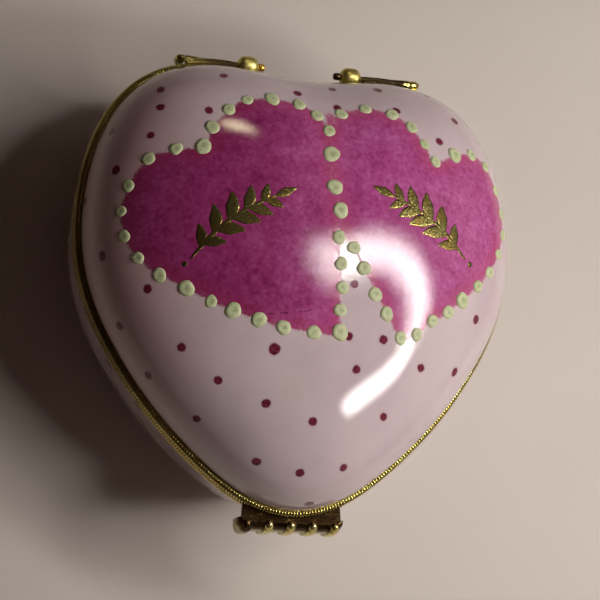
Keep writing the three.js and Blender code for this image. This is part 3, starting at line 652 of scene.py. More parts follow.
# ------------------------------------------------------------------ lid porcelain
def lid_porcelain():
    n = 640
    t = stations(n)

    def rows_of(count, height, z_end):
        phi = np.linspace(0, math.pi / 2, 6000)
        s = np.sin(phi) ** (2 / DOME_P)
        z = height * np.cos(phi) ** (2 / DOME_P)
        keep = z > z_end
        s, z = s[keep], z[keep]
        arc = np.r_[0, np.cumsum(np.hypot(np.diff(s * 24), np.diff(z)))]
        w = np.linspace(0, 1, count + 1)[1:] * arc[-1]
        return np.interp(w, arc, s), np.interp(w, arc, z)

    so, zo = rows_of(118, DOME_H, NECK_H + 0.07)
    hi = DOME_H - LID_WALL
    si, zi = rows_of(48, hi, RIM_GAP + 0.15)

    def ring(s, z, inset, big):
        x, y = edge(t, inset)
        a, r0 = np.arctan2(x, -y), np.hypot(x, y)
        relax = ROUND_SHARE * (1 - s) ** 2
        r = s * (r0 * (1 - relax) + big * relax)
        return np.stack([r * np.sin(a), -r * np.cos(a), np.full(n, z)], -1)

    cols = [ring(s, z, RIM_INSET, ROUND_R) for s, z in zip(so, zo)]
    n_out = len(so)
    for ins, z in ((0.80, NECK_H + 0.02), (0.88, NECK_H), (NECK_INSET - 0.04, NECK_H), (NECK_INSET, NECK_H - 0.04), (NECK_INSET, RIM_GAP + 0.06), (NECK_INSET + 0.06, RIM_GAP),
                   (NECK_INSET + LID_WALL - 0.08, RIM_GAP), (NECK_INSET + LID_WALL - 0.01, RIM_GAP + 0.07)):
        x, y = edge(t, ins)
        cols.append(np.stack([x, y, np.full(n, z)], -1))
    for s, z in list(zip(si, zi))[::-1]:
        cols.append(ring(s, z, NECK_INSET + LID_WALL, ROUND_R - LID_WALL))
    rows = len(cols)
    v = np.stack(cols, 1).reshape(-1, 3)                     # station by station
    top, low = len(v), len(v) + 1
    v = np.vstack([v, [[0, 0, DOME_H], [0, 0, hi]]])
    quads = ring_faces(n, rows, closed_rows=False)
    i = np.arange(n)
    fan_top = np.stack([np.full(n, top), ((i + 1) % n) * rows, i * rows], -1)
    fan_low = np.stack([np.full(n, low), i * rows + rows - 1, ((i + 1) % n) * rows + rows - 1], -1)
    faces = [quads, fan_top, fan_low]
    if outward(v, [quads])[0] is not quads:
        faces = [f[:, ::-1] for f in faces]
    row = np.r_[np.tile(np.arange(rows), n), 0, rows - 1]
    inside = (row >= n_out + 2).astype(float)
    heart = np.full(len(v), -9.0)
    out = row < n_out
    loops = [catmull(HEART_L, 700, True), catmull(HEART_R, 700, True)]
    heart[out] = np.maximum(inside_distance(v[out][:, :2], loops[0]), inside_distance(v[out][:, :2], loops[1]))
    # the two hearts touch: the wash runs under the dots between them
    seam_x = np.interp(v[:, 1], [2.0, 3.8, 6.75, 9.28, 13.0, 15.8, 17.4], [1.5, 1.3, 1.15, 0.6, 0.4, 0.5, 0.7])
    bridge = 0.42 - np.abs(v[:, 0] - seam_x)
    bridge = np.minimum(bridge, np.minimum(v[:, 1] - 3.6, 17.7 - v[:, 1]) * 0.5)
    heart[out] = np.maximum(heart[out], np.minimum(bridge[out], 0.4))
    xy = np.array(BURG)
    fix = share_of(xy[:, 0], xy[:, 1])
    xy = xy * np.minimum(1, 0.994 / fix)[:, None]
    centres = dome_points(xy)
    radii = 0.42 + 0.07 * RNG.random(len(centres))
    radii[16] = 0.60
    vec, rad = dot_corners(v, faces, centres, radii)
    a, b = np.array([-6.7, -4.95]), np.array([-1.7, -4.15])
    u = (b - a) / np.linalg.norm(b - a)
    rel = v[:, :2] - (a + b) / 2
    scratch = np.stack([rel @ u, rel @ np.array([-u[1], u[0]]), np.zeros(len(v))], -1)
    ob = make("lid_porcelain_painted", v, faces, MAT_LID, "lid",
              attrs={"heart": heart, "inside": inside, "scratch": scratch}, corners={"dotv": vec, "dotr": rad})
    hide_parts("lid_porcelain")
    return ob


lid_porcelain()


# ------------------------------------------------------------------ raised enamel dots
def enamel_dots():
    rng = np.random.default_rng(5)
    seg = 28
    prof = np.array([(0.07, 0.80), (0.15, 0.79), (0.24, 0.83), (0.36, 0.93), (0.50, 1.0), (0.64, 0.97), (0.77, 0.82), (0.87, 0.58), (0.94, 0.33), (0.985, 0.08), (1.0, -0.16)])
    rows = len(prof)
    verts, quads, tris, core = [], [], [], []
    base = 0
    k = np.arange(seg)
    a = TAU * k / seg
    for x0, y0, r in GREEN_L + GREEN_R:
        p, nrm = dome_point(x0, y0), dome_normal(x0, y0)
        u = np.cross([0.3, 1.0, 0.1], nrm)
        u /= np.linalg.norm(u)
        w = np.cross(nrm, u)
        high = 0.185 * (r / 0.8) * (0.85 + 0.3 * rng.random())
        ph = rng.random(4) * TAU
        off = (rng.random(2) - 0.5) * 0.22
        dip = 0.15 + 0.75 * rng.random()
        wob = 1 + 0.05 * np.sin(2 * a + ph[0]) + 0.03 * np.sin(3 * a + ph[1]) + 0.018 * np.sin(5 * a + ph[2])
        q = prof[:, 0][:, None] * r
        lean = (1 - prof[:, 0])[:, None] * r
        du = q * (wob * np.cos(a))[None] + off[0] * lean
        dv = q * (wob * np.sin(a))[None] + off[1] * lean
        pt = p + u * du[..., None] + w * dv[..., None]
        ok = share_of(pt[..., 0], pt[..., 1]) < 0.99
        g = dome_points(pt[..., :2])
        drop = np.where(ok, (g - pt) @ nrm, 0.0)
        drop = np.where(np.abs(drop) < 0.4, drop, 0.0)
        hgt = prof[:, 1].copy()
        hgt[:4] = 1 - (1 - hgt[:4]) * dip
        pt = pt + nrm * (drop + high * hgt[:, None])[..., None]
        verts += [pt.reshape(-1, 3), [p + u * off[0] * r + w * off[1] * r + nrm * high * (1 - 0.19 * dip)], [p - nrm * high * 0.2]]
        c = np.clip(1 - np.abs(prof[:, 0] - 0.12) / 0.34, 0, 1)
        core += [np.repeat(c, seg), [1.0], [0.0]]
        k2 = (k + 1) % seg
        apex, foot = base + rows * seg, base + rows * seg + 1
        for j in range(rows - 1):
            quads.append(np.stack([base + j * seg + k, base + (j + 1) * seg + k, base + (j + 1) * seg + k2, base + j * seg + k2], -1))
        tris.append(np.stack([np.full(seg, apex), base + k, base + k2], -1))
        last = base + (rows - 1) * seg
        tris.append(np.stack([np.full(seg, foot), last + k2, last + k], -1))
        base += rows * seg + 2
    v = np.vstack(verts)
    ob = make("enamel_dots_green", v, [np.vstack(quads), np.vstack(tris)], MAT_ENAMEL, "lid", attrs={"core": np.concatenate(core)})
    return tidy(ob)


enamel_dots()


# ------------------------------------------------------------------ fired gold flourishes
def ribbon(points, widths, n=72, high=0.032, across=9):
    """a raised gold stroke lying on the dome: spline points and half widths in plan"""
    c = catmull(points, n)
    wv = 1.22 * np.interp(np.linspace(0, 1, n), np.linspace(0, 1, len(widths)), widths)
    d = np.gradient(c, axis=0)
    d /= np.linalg.norm(d, axis=1)[:, None] + 1e-9
    nn = np.stack([-d[:, 1], d[:, 0]], -1)
    u = np.linspace(-1, 1, across)
    q = c[:, None] + nn[:, None] * (wv[:, None] * u[None])[..., None]
    p = dome_points(q)
    m = dome_normals(c)[:, None]
    lift = high * np.maximum(0, 1 - u ** 6)[None] * np.minimum(1, wv / 0.12)[:, None]
    top = p + m * (lift - 0.004)[..., None]
    low = (p - m * 0.03)[:, ::-1]
    v = np.concatenate([top, low], 1)
    m2 = across * 2
    i, k = np.meshgrid(np.arange(n - 1), np.arange(m2), indexing="ij")
    a, b = i * m2 + k, i * m2 + (k + 1) % m2
    quads = np.stack([a, b, b + m2, a + m2], -1).reshape(-1, 4)
    return v.reshape(-1, 3), quads, [tuple(range(m2 - 1, -1, -1)), tuple((n - 1) * m2 + k for k in range(m2))]


def spiral(cx, cy, r0, r1, a0, turns, n=14):
    out = []
    for k in range(n):
        f = k / (n - 1)
        a = a0 + turns * TAU * f
        r = r0 + (r1 - r0) * f
        out.append((cx + r * math.cos(a), cy + r * math.sin(a)))
    return out


def gold_flourishes():
    strokes = []

    def leaf(x, y, angle, length, wide, bend=0.25):
        a = math.radians(angle)
        d, s = np.array([math.cos(a), math.sin(a)]), np.array([-math.sin(a), math.cos(a)])
        pts = [np.array([x, y]) + d * length * f + s * bend * length * math.sin(math.pi * f * 0.9) for f in (0, 0.25, 0.5, 0.75, 1.0)]
        strokes.append((pts, [0.06, wide * 0.75, wide, wide * 0.66, 0.04], 30))

    def sprig(foot, tip, bow):
        """a laurel sprig: a slim bowed stem with pairs of pointed leaves and one at its tip"""
        foot, tip = np.array(foot), np.array(tip)
        run = tip - foot
        side = np.array([-run[1], run[0]]) / np.linalg.norm(run)
        along = lambda f: foot + run * f + side * bow * math.sin(math.pi * f)
        strokes.append(([along(f) for f in np.linspace(0, 1, 8)], [0.08, 0.20, 0.19, 0.17, 0.14, 0.08], 90))
        for f, size in ((0.13, 2.5), (0.30, 3.1), (0.48, 3.2), (0.66, 2.8), (0.83, 2.2)):
            ahead = along(f + 0.02) - along(f - 0.02)
            head = math.degrees(math.atan2(ahead[1], ahead[0]))
            leaf(*along(f), head + 46, size, 0.19 * size + 0.03, -0.10)
            leaf(*along(f + 0.035), head - 46, size * 0.96, 0.19 * size + 0.03, 0.10)
        ahead = along(1.0) - along(0.96)
        leaf(*along(0.97), math.degrees(math.atan2(ahead[1], ahead[0])), 2.6, 0.43, 0.0)

    # one sprig in each heart, leaning towards each other
    sprig((-14.5, 0.5), (-5.6, 7.8), 0.9)
    sprig((16.1, 3.0), (7.1, 9.0), -0.8)
    berries = [(-15.05, -0.05, 0.32), (16.75, 2.55, 0.32)]

    V, F = [], []
    base = 0
    for pts, widths, n in strokes:
        v, q, caps = ribbon(pts, widths, n)
        V.append(v)
        F += [q + base] + [np.array([c]) + base for c in caps]
        base += len(v)
    seg = 20
    k = np.arange(seg)
    k2 = (k + 1) % seg
    for x, y, r in berries:
        p, m = dome_point(x, y), dome_normal(x, y)
        u = np.cross([0, 1, 0], m)
        u /= np.linalg.norm(u)
        w = np.cross(m, u)
        prof = [(0.35, 0.95), (0.65, 0.75), (0.88, 0.45), (1.0, -0.4)]
        pts = [p + u * r * q * math.cos(TAU * j / seg) + w * r * q * math.sin(TAU * j / seg) + m * 0.06 * h for q, h in prof for j in range(seg)]
        V.append(np.array(pts + [p + m * 0.06, p - m * 0.03]))
        for j in range(3):
            F.append(np.stack([base + j * seg + k, base + (j + 1) * seg + k, base + (j + 1) * seg + k2, base + j * seg + k2], -1))
        F.append(np.stack([np.full(seg, base + 4 * seg), base + k, base + k2], -1))
        F.append(np.stack([np.full(seg, base + 4 * seg + 1), base + 3 * seg + k2, base + 3 * seg + k], -1))
        base += 4 * seg + 2
    return tidy(make("gold_flourishes", np.vstack(V), F, MAT_GOLD, "lid"))


gold_flourishes()


# ------------------------------------------------------------------ base porcelain
def base_porcelain():
    n = 600
    t = stations(n)
    outer = [(FOOT_IN + 0.55, FOOT_H - 0.15), (FOOT_IN + 0.25, FOOT_H - 0.22), (FOOT_IN + 0.06, 0.55), (FOOT_IN - 0.02, 0.20), (FOOT_IN - 0.22, 0.02),
             (FOOT_IN - 0.5, 0.0), (FOOT_OUT + 0.5, 0.0), (FOOT_OUT + 0.2, 0.02), (FOOT_OUT + 0.0, 0.22), (FOOT_OUT - 0.04, 0.6), (FOOT_OUT - 0.3, FOOT_H + 0.02),
             (5.3, FOOT_H + 0.20), (4.4, FOOT_H + 0.48), (3.5, FOOT_H + 1.0), (2.85, FOOT_H + 1.7), (2.25, FOOT_H + 2.7), (1.85, FOOT_H + 4.0),
             (1.55, FOOT_H + 5.4), (1.28, 8.2), (1.05, 10.3), (0.90, 12.2), (0.81, 13.8), (RIM_INSET, 14.9), (RIM_INSET + 0.02, SEAM - NECK_H - 0.09)]
    neck = [(RIM_INSET + 0.05, SEAM - NECK_H - 0.02), (RIM_INSET + 0.12, SEAM - NECK_H), (NECK_INSET - 0.04, SEAM - NECK_H), (NECK_INSET, SEAM - NECK_H + 0.04), (NECK_INSET, SEAM - RIM_GAP - 0.06)]
    rim = [(NECK_INSET + 0.06, SEAM - RIM_GAP), (NECK_INSET + BASE_WALL - 0.10, SEAM - RIM_GAP), (NECK_INSET + BASE_WALL, SEAM - RIM_GAP - 0.1)]
    inner = [(NECK_INSET + BASE_WALL, 15.0), (NECK_INSET + BASE_WALL, 13.5), (1.5 + BASE_WALL, 11.2), (1.7 + BASE_WALL, 9.0), (2.0 + BASE_WALL, 7.5), (2.4 + BASE_WALL, 6.3),
             (3.0 + BASE_WALL, 5.25), (3.8 + BASE_WALL, 4.4), (5.0 + BASE_WALL, 3.75), (6.4 + BASE_WALL, 3.4), (8.0 + BASE_WALL, 3.22)]

    def fine(pts, k):
        return catmull(pts, k)

    sec = np.vstack([fine(outer, 100), neck, rim, fine(inner, 60)])
    x, y = edge(t[:, None], sec[None, :, 0])
    rings = [np.stack([x[:, j], y[:, j], np.full(n, sec[j, 1] - SEAM)], -1) for j in range(len(sec))]
    # floors: the inner plan shrinks towards the middle
    x9, y9 = edge(t, 8.0 + BASE_WALL)
    floor_in = [np.stack([x9 * q, y9 * q, np.full(n, 3.2 - SEAM + 0.02 * q)], -1) for q in (0.85, 0.68, 0.5, 0.33, 0.17, 0.05)]
    x8, y8 = edge(t, FOOT_IN + 0.55)
    floor_out = [np.stack([x8 * q, y8 * q, np.full(n, FOOT_H - 0.15 - SEAM)], -1) for q in (0.05, 0.2, 0.4, 0.6, 0.8, 0.93)]
    rings = floor_out + rings + floor_in
    rows = len(rings)
    v = np.stack(rings, 1).reshape(-1, 3)
    lo, hi = len(v), len(v) + 1
    v = np.vstack([v, [[0, 0, FOOT_H - 0.15 - SEAM], [0, 0, 3.2 - SEAM]]])
    quads = ring_faces(n, rows, closed_rows=False)
    i = np.arange(n)
    fan_lo = np.stack([np.full(n, lo), ((i + 1) % n) * rows, i * rows], -1)
    fan_hi = np.stack([np.full(n, hi), i * rows + rows - 1, ((i + 1) % n) * rows + rows - 1], -1)
    faces = [quads, fan_lo, fan_hi]
    if outward(v, [quads])[0] is not quads:
        faces = [f[:, ::-1] for f in faces]
    row = np.r_[np.tile(np.arange(rows), n), 0, rows - 1]
    first_in = len(floor_out) + 100 + 3
    inside = ((row >= first_in) | (row < len(floor_out) + 34)).astype(float)
    z = v[:, 2] + SEAM
    bare = np.clip((0.16 - z) / 0.12, 0, 1)
    # polka dots on the side, in staggered rows
    centres = []
    rng = np.random.default_rng(3)
    for q, zz in enumerate((12.9, 8.8, 5.0)):
        count = 28
        ts = stations(count, 0.5 * (q % 2) + 0.25)
        for tk in ts:
            inset = np.interp(zz, [5.0, 8.8, 12.9], [1.87, 1.21, 0.86])
            cx, cy = edge(tk + (rng.random() - 0.5) * 0.05, inset)
            centres.append((float(cx), float(cy), zz - SEAM + (rng.random() - 0.5) * 1.1))
    centres = np.array(centres)
    radii = 0.42 + 0.07 * rng.random(len(centres))
    vec, rad = dot_corners(v, faces, centres, radii)
    ob = make("base_porcelain_glazed", v, faces, MAT_BASE, "base", attrs={"inside": inside, "bare": bare}, corners={"dotv": vec, "dotr": rad})
    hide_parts("base_porcelain")
    return ob


base_porcelain()


# ------------------------------------------------------------------ reeded brass mounts
def mount(up, name, body):
    """one mount: a finely reeded bead, swept densely, and the smooth bezel and ledge"""
    reeds = int(round(PERIMETER / 0.355))
    per = 8
    n = reeds * per
    t = stations(n)
    rng = np.random.default_rng(21 if up > 0 else 22)
    jit = rng.normal(0, 0.05, reeds)
    deep = 0.100 + 0.035 * rng.random(reeds)
    zc = SEAM_GAP + BEAD_R
    tuck = 0.24 * np.clip((t - 1.75) / 0.5, 0, 1) * np.clip((3.75 - t) / 0.4, 0, 1)
    ang = np.linspace(-math.pi / 2, math.pi / 2 + 0.62, 14)
    k = np.arange(n)
    which = (k // per) % reeds
    verts = []
    groove = []
    for a in ang:
        ph = (k % per) / per + jit[which] * 0.4 + 0.10 * (a / (math.pi / 2))
        cut = (0.5 + 0.5 * np.cos(TAU * ph)) ** 1.5
        fade = min(1.0, 0.25 + 1.2 * (a + math.pi / 2)) * min(1.0, max(0.0, (math.pi / 2 + 0.62 - a) / 0.35))
        r = BEAD_R - deep[which] * cut * fade
        x, y = edge(t, tuck + BEAD_R - r * math.cos(a))
        verts.append(np.stack([x, y, up * (zc + r * math.sin(a))], -1))
        groove.append(cut * min(1.0, fade + 0.2))
    # back of the bead, closed behind against the bezel wall
    x, y = edge(t, WALL_OUT + 0.10)
    verts.append(np.stack([x, y, np.full(n, up * (zc + BEAD_R - 0.10))], -1))
    verts.append(np.stack([x, y, np.full(n, up * SEAM_GAP)], -1))
    groove += [np.ones(n), np.ones(n)]
    rows = len(verts)
    v1 = np.stack(verts, 1).reshape(-1, 3)
    g1 = np.stack(groove, 1).reshape(-1)
    f1 = outward(v1, [ring_faces(n, rows)])[0]
    # bezel wall and ledge
    sec = rounded([(WALL_OUT + 0.02, up * (SEAM_GAP + 0.02)), (WALL_OUT, up * WALL_TOP), (WALL_IN, up * WALL_TOP), (WALL_IN, up * (SEAM_GAP + LEDGE_T)),
                   (LEDGE_IN, up * (SEAM_GAP + LEDGE_T)), (LEDGE_IN, up * SEAM_GAP)], [0.0, 0.11, 0.11, 0.05, 0.08, 0.08], 4)
    v2, f2 = ring_mesh(sec, 720)
    g2 = np.zeros(len(v2))
    f2 = f2[0] + len(v1)
    v = np.vstack([v1, v2])
    return make(name, v, [f1, f2], MAT_BEAD, None, attrs={"groove": np.r_[g1, g2]})


def lathe_ob(name, profile, side, seg=40):
    """solid of revolution about the hinge axis; profile of (x, radius), ends closed"""
    p = [(x, r) for x, r in profile]
    v = [(side * x, HINGE_Y + r * math.cos(TAU * k / seg), r * math.sin(TAU * k / seg)) for x, r in p for k in range(seg)]
    k = np.arange(seg)
    k2 = (k + 1) % seg
    f = np.vstack([np.stack([j * seg + k, j * seg + k2, (j + 1) * seg + k2, (j + 1) * seg + k], -1) for j in range(len(p) - 1)])
    c0, last = len(v), (len(p) - 1) * seg
    v += [(side * p[0][0], HINGE_Y, 0.0), (side * p[-1][0], HINGE_Y, 0.0)]
    tri = np.vstack([np.stack([np.full(seg, c0), k2, k], -1), np.stack([np.full(seg, c0 + 1), last + k, last + k2], -1)])
    return tidy(make(name, np.array(v), [f, tri], MAT_BRASS, None))


def joined(a, b):
    """one object of two that don't touch"""
    bm = bmesh.new()
    bm.from_mesh(a.data)
    bm.from_mesh(b.data)
    bm.to_mesh(a.data)
    bm.free()
    me = b.data
    bpy.data.objects.remove(b)
    bpy.data.meshes.remove(me)
    return a


def boolean(ob, other, kind):
    m = ob.modifiers.new("b", "BOOLEAN")
    m.operation = kind
    m.solver = "EXACT"
    m.object = other
    bpy.context.view_layer.update()
    dg = bpy.context.evaluated_depsgraph_get()
    new = bpy.data.meshes.new_from_object(ob.evaluated_get(dg), preserve_all_data_layers=True, depsgraph=dg)
    ob.modifiers.clear()
    old = ob.data
    ob.data = new
    bpy.data.meshes.remove(old)
    me2 = other.data
    bpy.data.objects.remove(other)
    bpy.data.meshes.remove(me2)
    return ob


def station_at(x):
    """the station on the back of the heart where the outline is at x"""
    t = np.linspace(math.pi * 0.62, math.pi * 1.38, 6000)
    ex, _ = edge(t, 0.0)
    return float(np.interp(-x, -ex, t))


def plate_ob(up, side, x0, x1, low, high, out_inset=0.0):
    """curved leaf plate on the outer face of the bezel wall, with rounded edges"""
    ta, tb = station_at(side * x0), station_at(side * x1)
    t = np.linspace(ta, tb, 40)
    sec = rounded([(out_inset, up * low), (out_inset, up * high), (WALL_OUT - 0.015, up * high), (WALL_OUT - 0.015, up * low)], [0.10, 0.22, 0.02, 0.02], 5)
    x, y = edge(t[:, None], sec[None, :, 0])
    v = np.stack([x, y, np.broadcast_to(sec[None, :, 1], x.shape)], -1).reshape(-1, 3)
    rows = len(sec)
    f = []
    for i in range(len(t) - 1):
        for j in range(rows):
            a, b = i * rows + j, i * rows + (j + 1) % rows
            f.append((a, b, b + rows, a + rows))
    caps = [tuple(range(rows)), tuple((len(t) - 1) * rows + j for j in range(rows))]
    ob = make("plate", v, [np.array(f), np.array([caps[0]]), np.array([caps[1]])], MAT_BRASS, None)
    tidy(ob)
    return ob


def knuckle(r, x0, x1, grow=0.0, k=22):
    mid, half = (x0 + x1) / 2, (x1 - x0) / 2
    out = []
    for i in range(k + 1):
        u = -math.cos(math.pi * i / k)
        out.append((mid + half * u, grow + r * math.sqrt(max(0.0, 1 - abs(u) ** 3 * 0.7))))
    return out


def finish_piece(ob, name, body, mats, node, bevel=None, angle=38):
    ob.name = name
    ob.data.name = name
    ob.data.materials.clear()
    for m in mats:
        ob.data.materials.append(m)
    ob.data.polygons.foreach_set("use_smooth", np.ones(len(ob.data.polygons), bool))
    sharpen(ob.data, angle)
    if bevel:
        m = ob.modifiers.new("edge", "BEVEL")
        m.width = bevel * MM
        m.segments = 2
        m.limit_method = "ANGLE"
        m.angle_limit = math.radians(40)
        m.harden_normals = False
    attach(ob, body)
    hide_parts(node)
    return ob


lid_mount = mount(1, "lid_collar_reeded", "lid")
base_mount = mount(-1, "base_collar_reeded", "base")

cutters = {1: None, -1: None}
for side, tag in ((-1, "left"), (1, "right")):
    # seats cut in the mounts
    cut = plate_ob(1, side, X_SLEEVE0 - 0.08, X_SLEEVE1 + 0.08, -0.3, 1.36, -1.5)
    cut = boolean(cut, lathe_ob("c", [(X_TAIL - 0.4, 0.5), (X_BALL0 - 0.08, 0.5)], side), "UNION")
    cut = boolean(cut, lathe_ob("c", knuckle(KNUCKLE_R, X_BALL0 - 0.1, X_BALL1 + 0.14, 0.12), side), "UNION")
    cut = boolean(cut, lathe_ob("c", [(X_SLEEVE1 + 0.04, SLEEVE_R1 + 0.12), (X_PIN1 + 0.3, SLEEVE_R1 + 0.12)], side), "UNION")
    cutters[1] = joined(cutters[1], cut) if cutters[1] else cut
    cut = plate_ob(-1, side, X_BALL0 - 0.08, X_END1 + 0.08, -0.3, 1.36, -1.5)
    cut = boolean(cut, lathe_ob("c", [(X_TAIL - 0.4, 0.5), (X_BALL0 - 0.08, 0.5)], side), "UNION")
    cut = boolean(cut, lathe_ob("c", [(X_END1, SLEEVE_R1 + 0.12), (X_PIN1 + 0.3, SLEEVE_R1 + 0.12)], side), "UNION")
    cutters[-1] = joined(cutters[-1], cut) if cutters[-1] else cut

    # lid leaf
    leafp = plate_ob(1, side, X_SLEEVE0, X_SLEEVE1, 0.12, 1.2)
    sl = lathe_ob("s", [(X_SLEEVE0, SLEEVE_R0 - 0.06), (X_SLEEVE0 + 0.06, SLEEVE_R0), (X_SLEEVE1 - 3.4, SLEEVE_R0 + 0.02), (X_SLEEVE1 - 1.2, SLEEVE_R1 - 0.05), (X_SLEEVE1 - 0.5, SLEEVE_R1), (X_SLEEVE1 - 0.07, SLEEVE_R1), (X_SLEEVE1, SLEEVE_R1 - 0.07)], side)
    leafp = boolean(leafp, sl, "UNION")
    web = plate_ob(1, side, X_SLEEVE0 + 0.02, X_SLEEVE1 - 0.02, 0.12, 0.42, -0.55)
    leafp = boolean(leafp, web, "UNION")
    leafp = boolean(leafp, lathe_ob("c", [(X_TAIL - 1, 0.225), (X_PIN1 + 1, 0.225)], side, 32), "DIFFERENCE")
    finish_piece(leafp, f"hinge_lid_leaf_{tag}_fine", "lid", [MAT_HINGE], f"hinge_lid_leaf_{tag}")

    # base leaf with the round knuckle
    bl = plate_ob(-1, side, X_BALL0, X_END1, 0.12, 1.2)
    bl = boolean(bl, lathe_ob("s", knuckle(KNUCKLE_R, X_BALL0, X_BALL1, 0.0, 28), side, 56), "UNION")
    bl = boolean(bl, lathe_ob("s", [(X_SLEEVE1 + 0.12, SLEEVE_R1 - 0.06), (X_SLEEVE1 + 0.18, SLEEVE_R1), (X_END1 - 0.15, SLEEVE_R1), (X_END1 - 0.04, SLEEVE_R1 - 0.08), (X_END1, SLEEVE_R1 - 0.18)], side), "UNION")
    bl = boolean(bl, plate_ob(-1, side, X_SLEEVE1 + 0.14, X_END1 - 0.02, 0.15, 0.5, -0.9), "UNION")
    bl = boolean(bl, lathe_ob("c", [(X_BALL1 + 0.02, SLEEVE_R1 + 0.12), (X_SLEEVE1 + 0.1, SLEEVE_R1 + 0.12)], side), "DIFFERENCE")
    cutv, cutf = ring_mesh([(WALL_OUT - 0.015, -2.4), (WALL_OUT - 0.015, 2.4), (4, 2.4), (4, -2.4)], 360)
    bl = boolean(bl, make("c", cutv, cutf, MAT_BRASS, None), "DIFFERENCE")
    bl = boolean(bl, lathe_ob("c", [(X_TAIL - 1, 0.225), (X_PIN1 + 1, 0.225)], side, 32), "DIFFERENCE")
    finish_piece(bl, f"hinge_base_leaf_{tag}_fine", "base", [MAT_HINGE], f"hinge_base_leaf_{tag}")

    # pin with peened ends
    pin = lathe_ob("p", [(X_TAIL, 0.12), (X_TAIL + 0.03, 0.27), (X_TAIL + 0.10, 0.36), (X_TAIL + 0.22, 0.40), (X_BALL0 - 0.18, 0.41), (X_BALL0 - 0.08, 0.36), (X_BALL0 - 0.04, PIN_R),
                         (X_END1 + 0.04, PIN_R), (X_END1 + 0.06, 0.31), (X_END1 + 0.12, 0.34), (X_PIN1 - 0.05, 0.30), (X_PIN1, 0.15)], side, 32)
    finish_piece(pin, f"hinge_pin_{tag}_fine", "base", [MAT_PIN], f"hinge_pin_{tag}", angle=50)

lid_mount = boolean(lid_mount, cutters[1], "DIFFERENCE")
base_mount = boolean(base_mount, cutters[-1], "DIFFERENCE")
finish_piece(lid_mount, "lid_collar_reeded", "lid", [MAT_BEAD], "lid_collar", angle=60)
finish_piece(base_mount, "base_collar_reeded", "base", [MAT_BEAD], "base_collar", angle=60)

# guide rim
gv, gf = ring_mesh(rounded([(GORGE_OUT, GORGE_FOOT), (GORGE_OUT, GORGE_TOP), (GORGE_IN, GORGE_TOP), (GORGE_IN, GORGE_FOOT)], 0.10, 4), 720)
gorge = make("base_gorge_fine", gv, gf, MAT_BRASS, "base")
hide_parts("base_gorge")


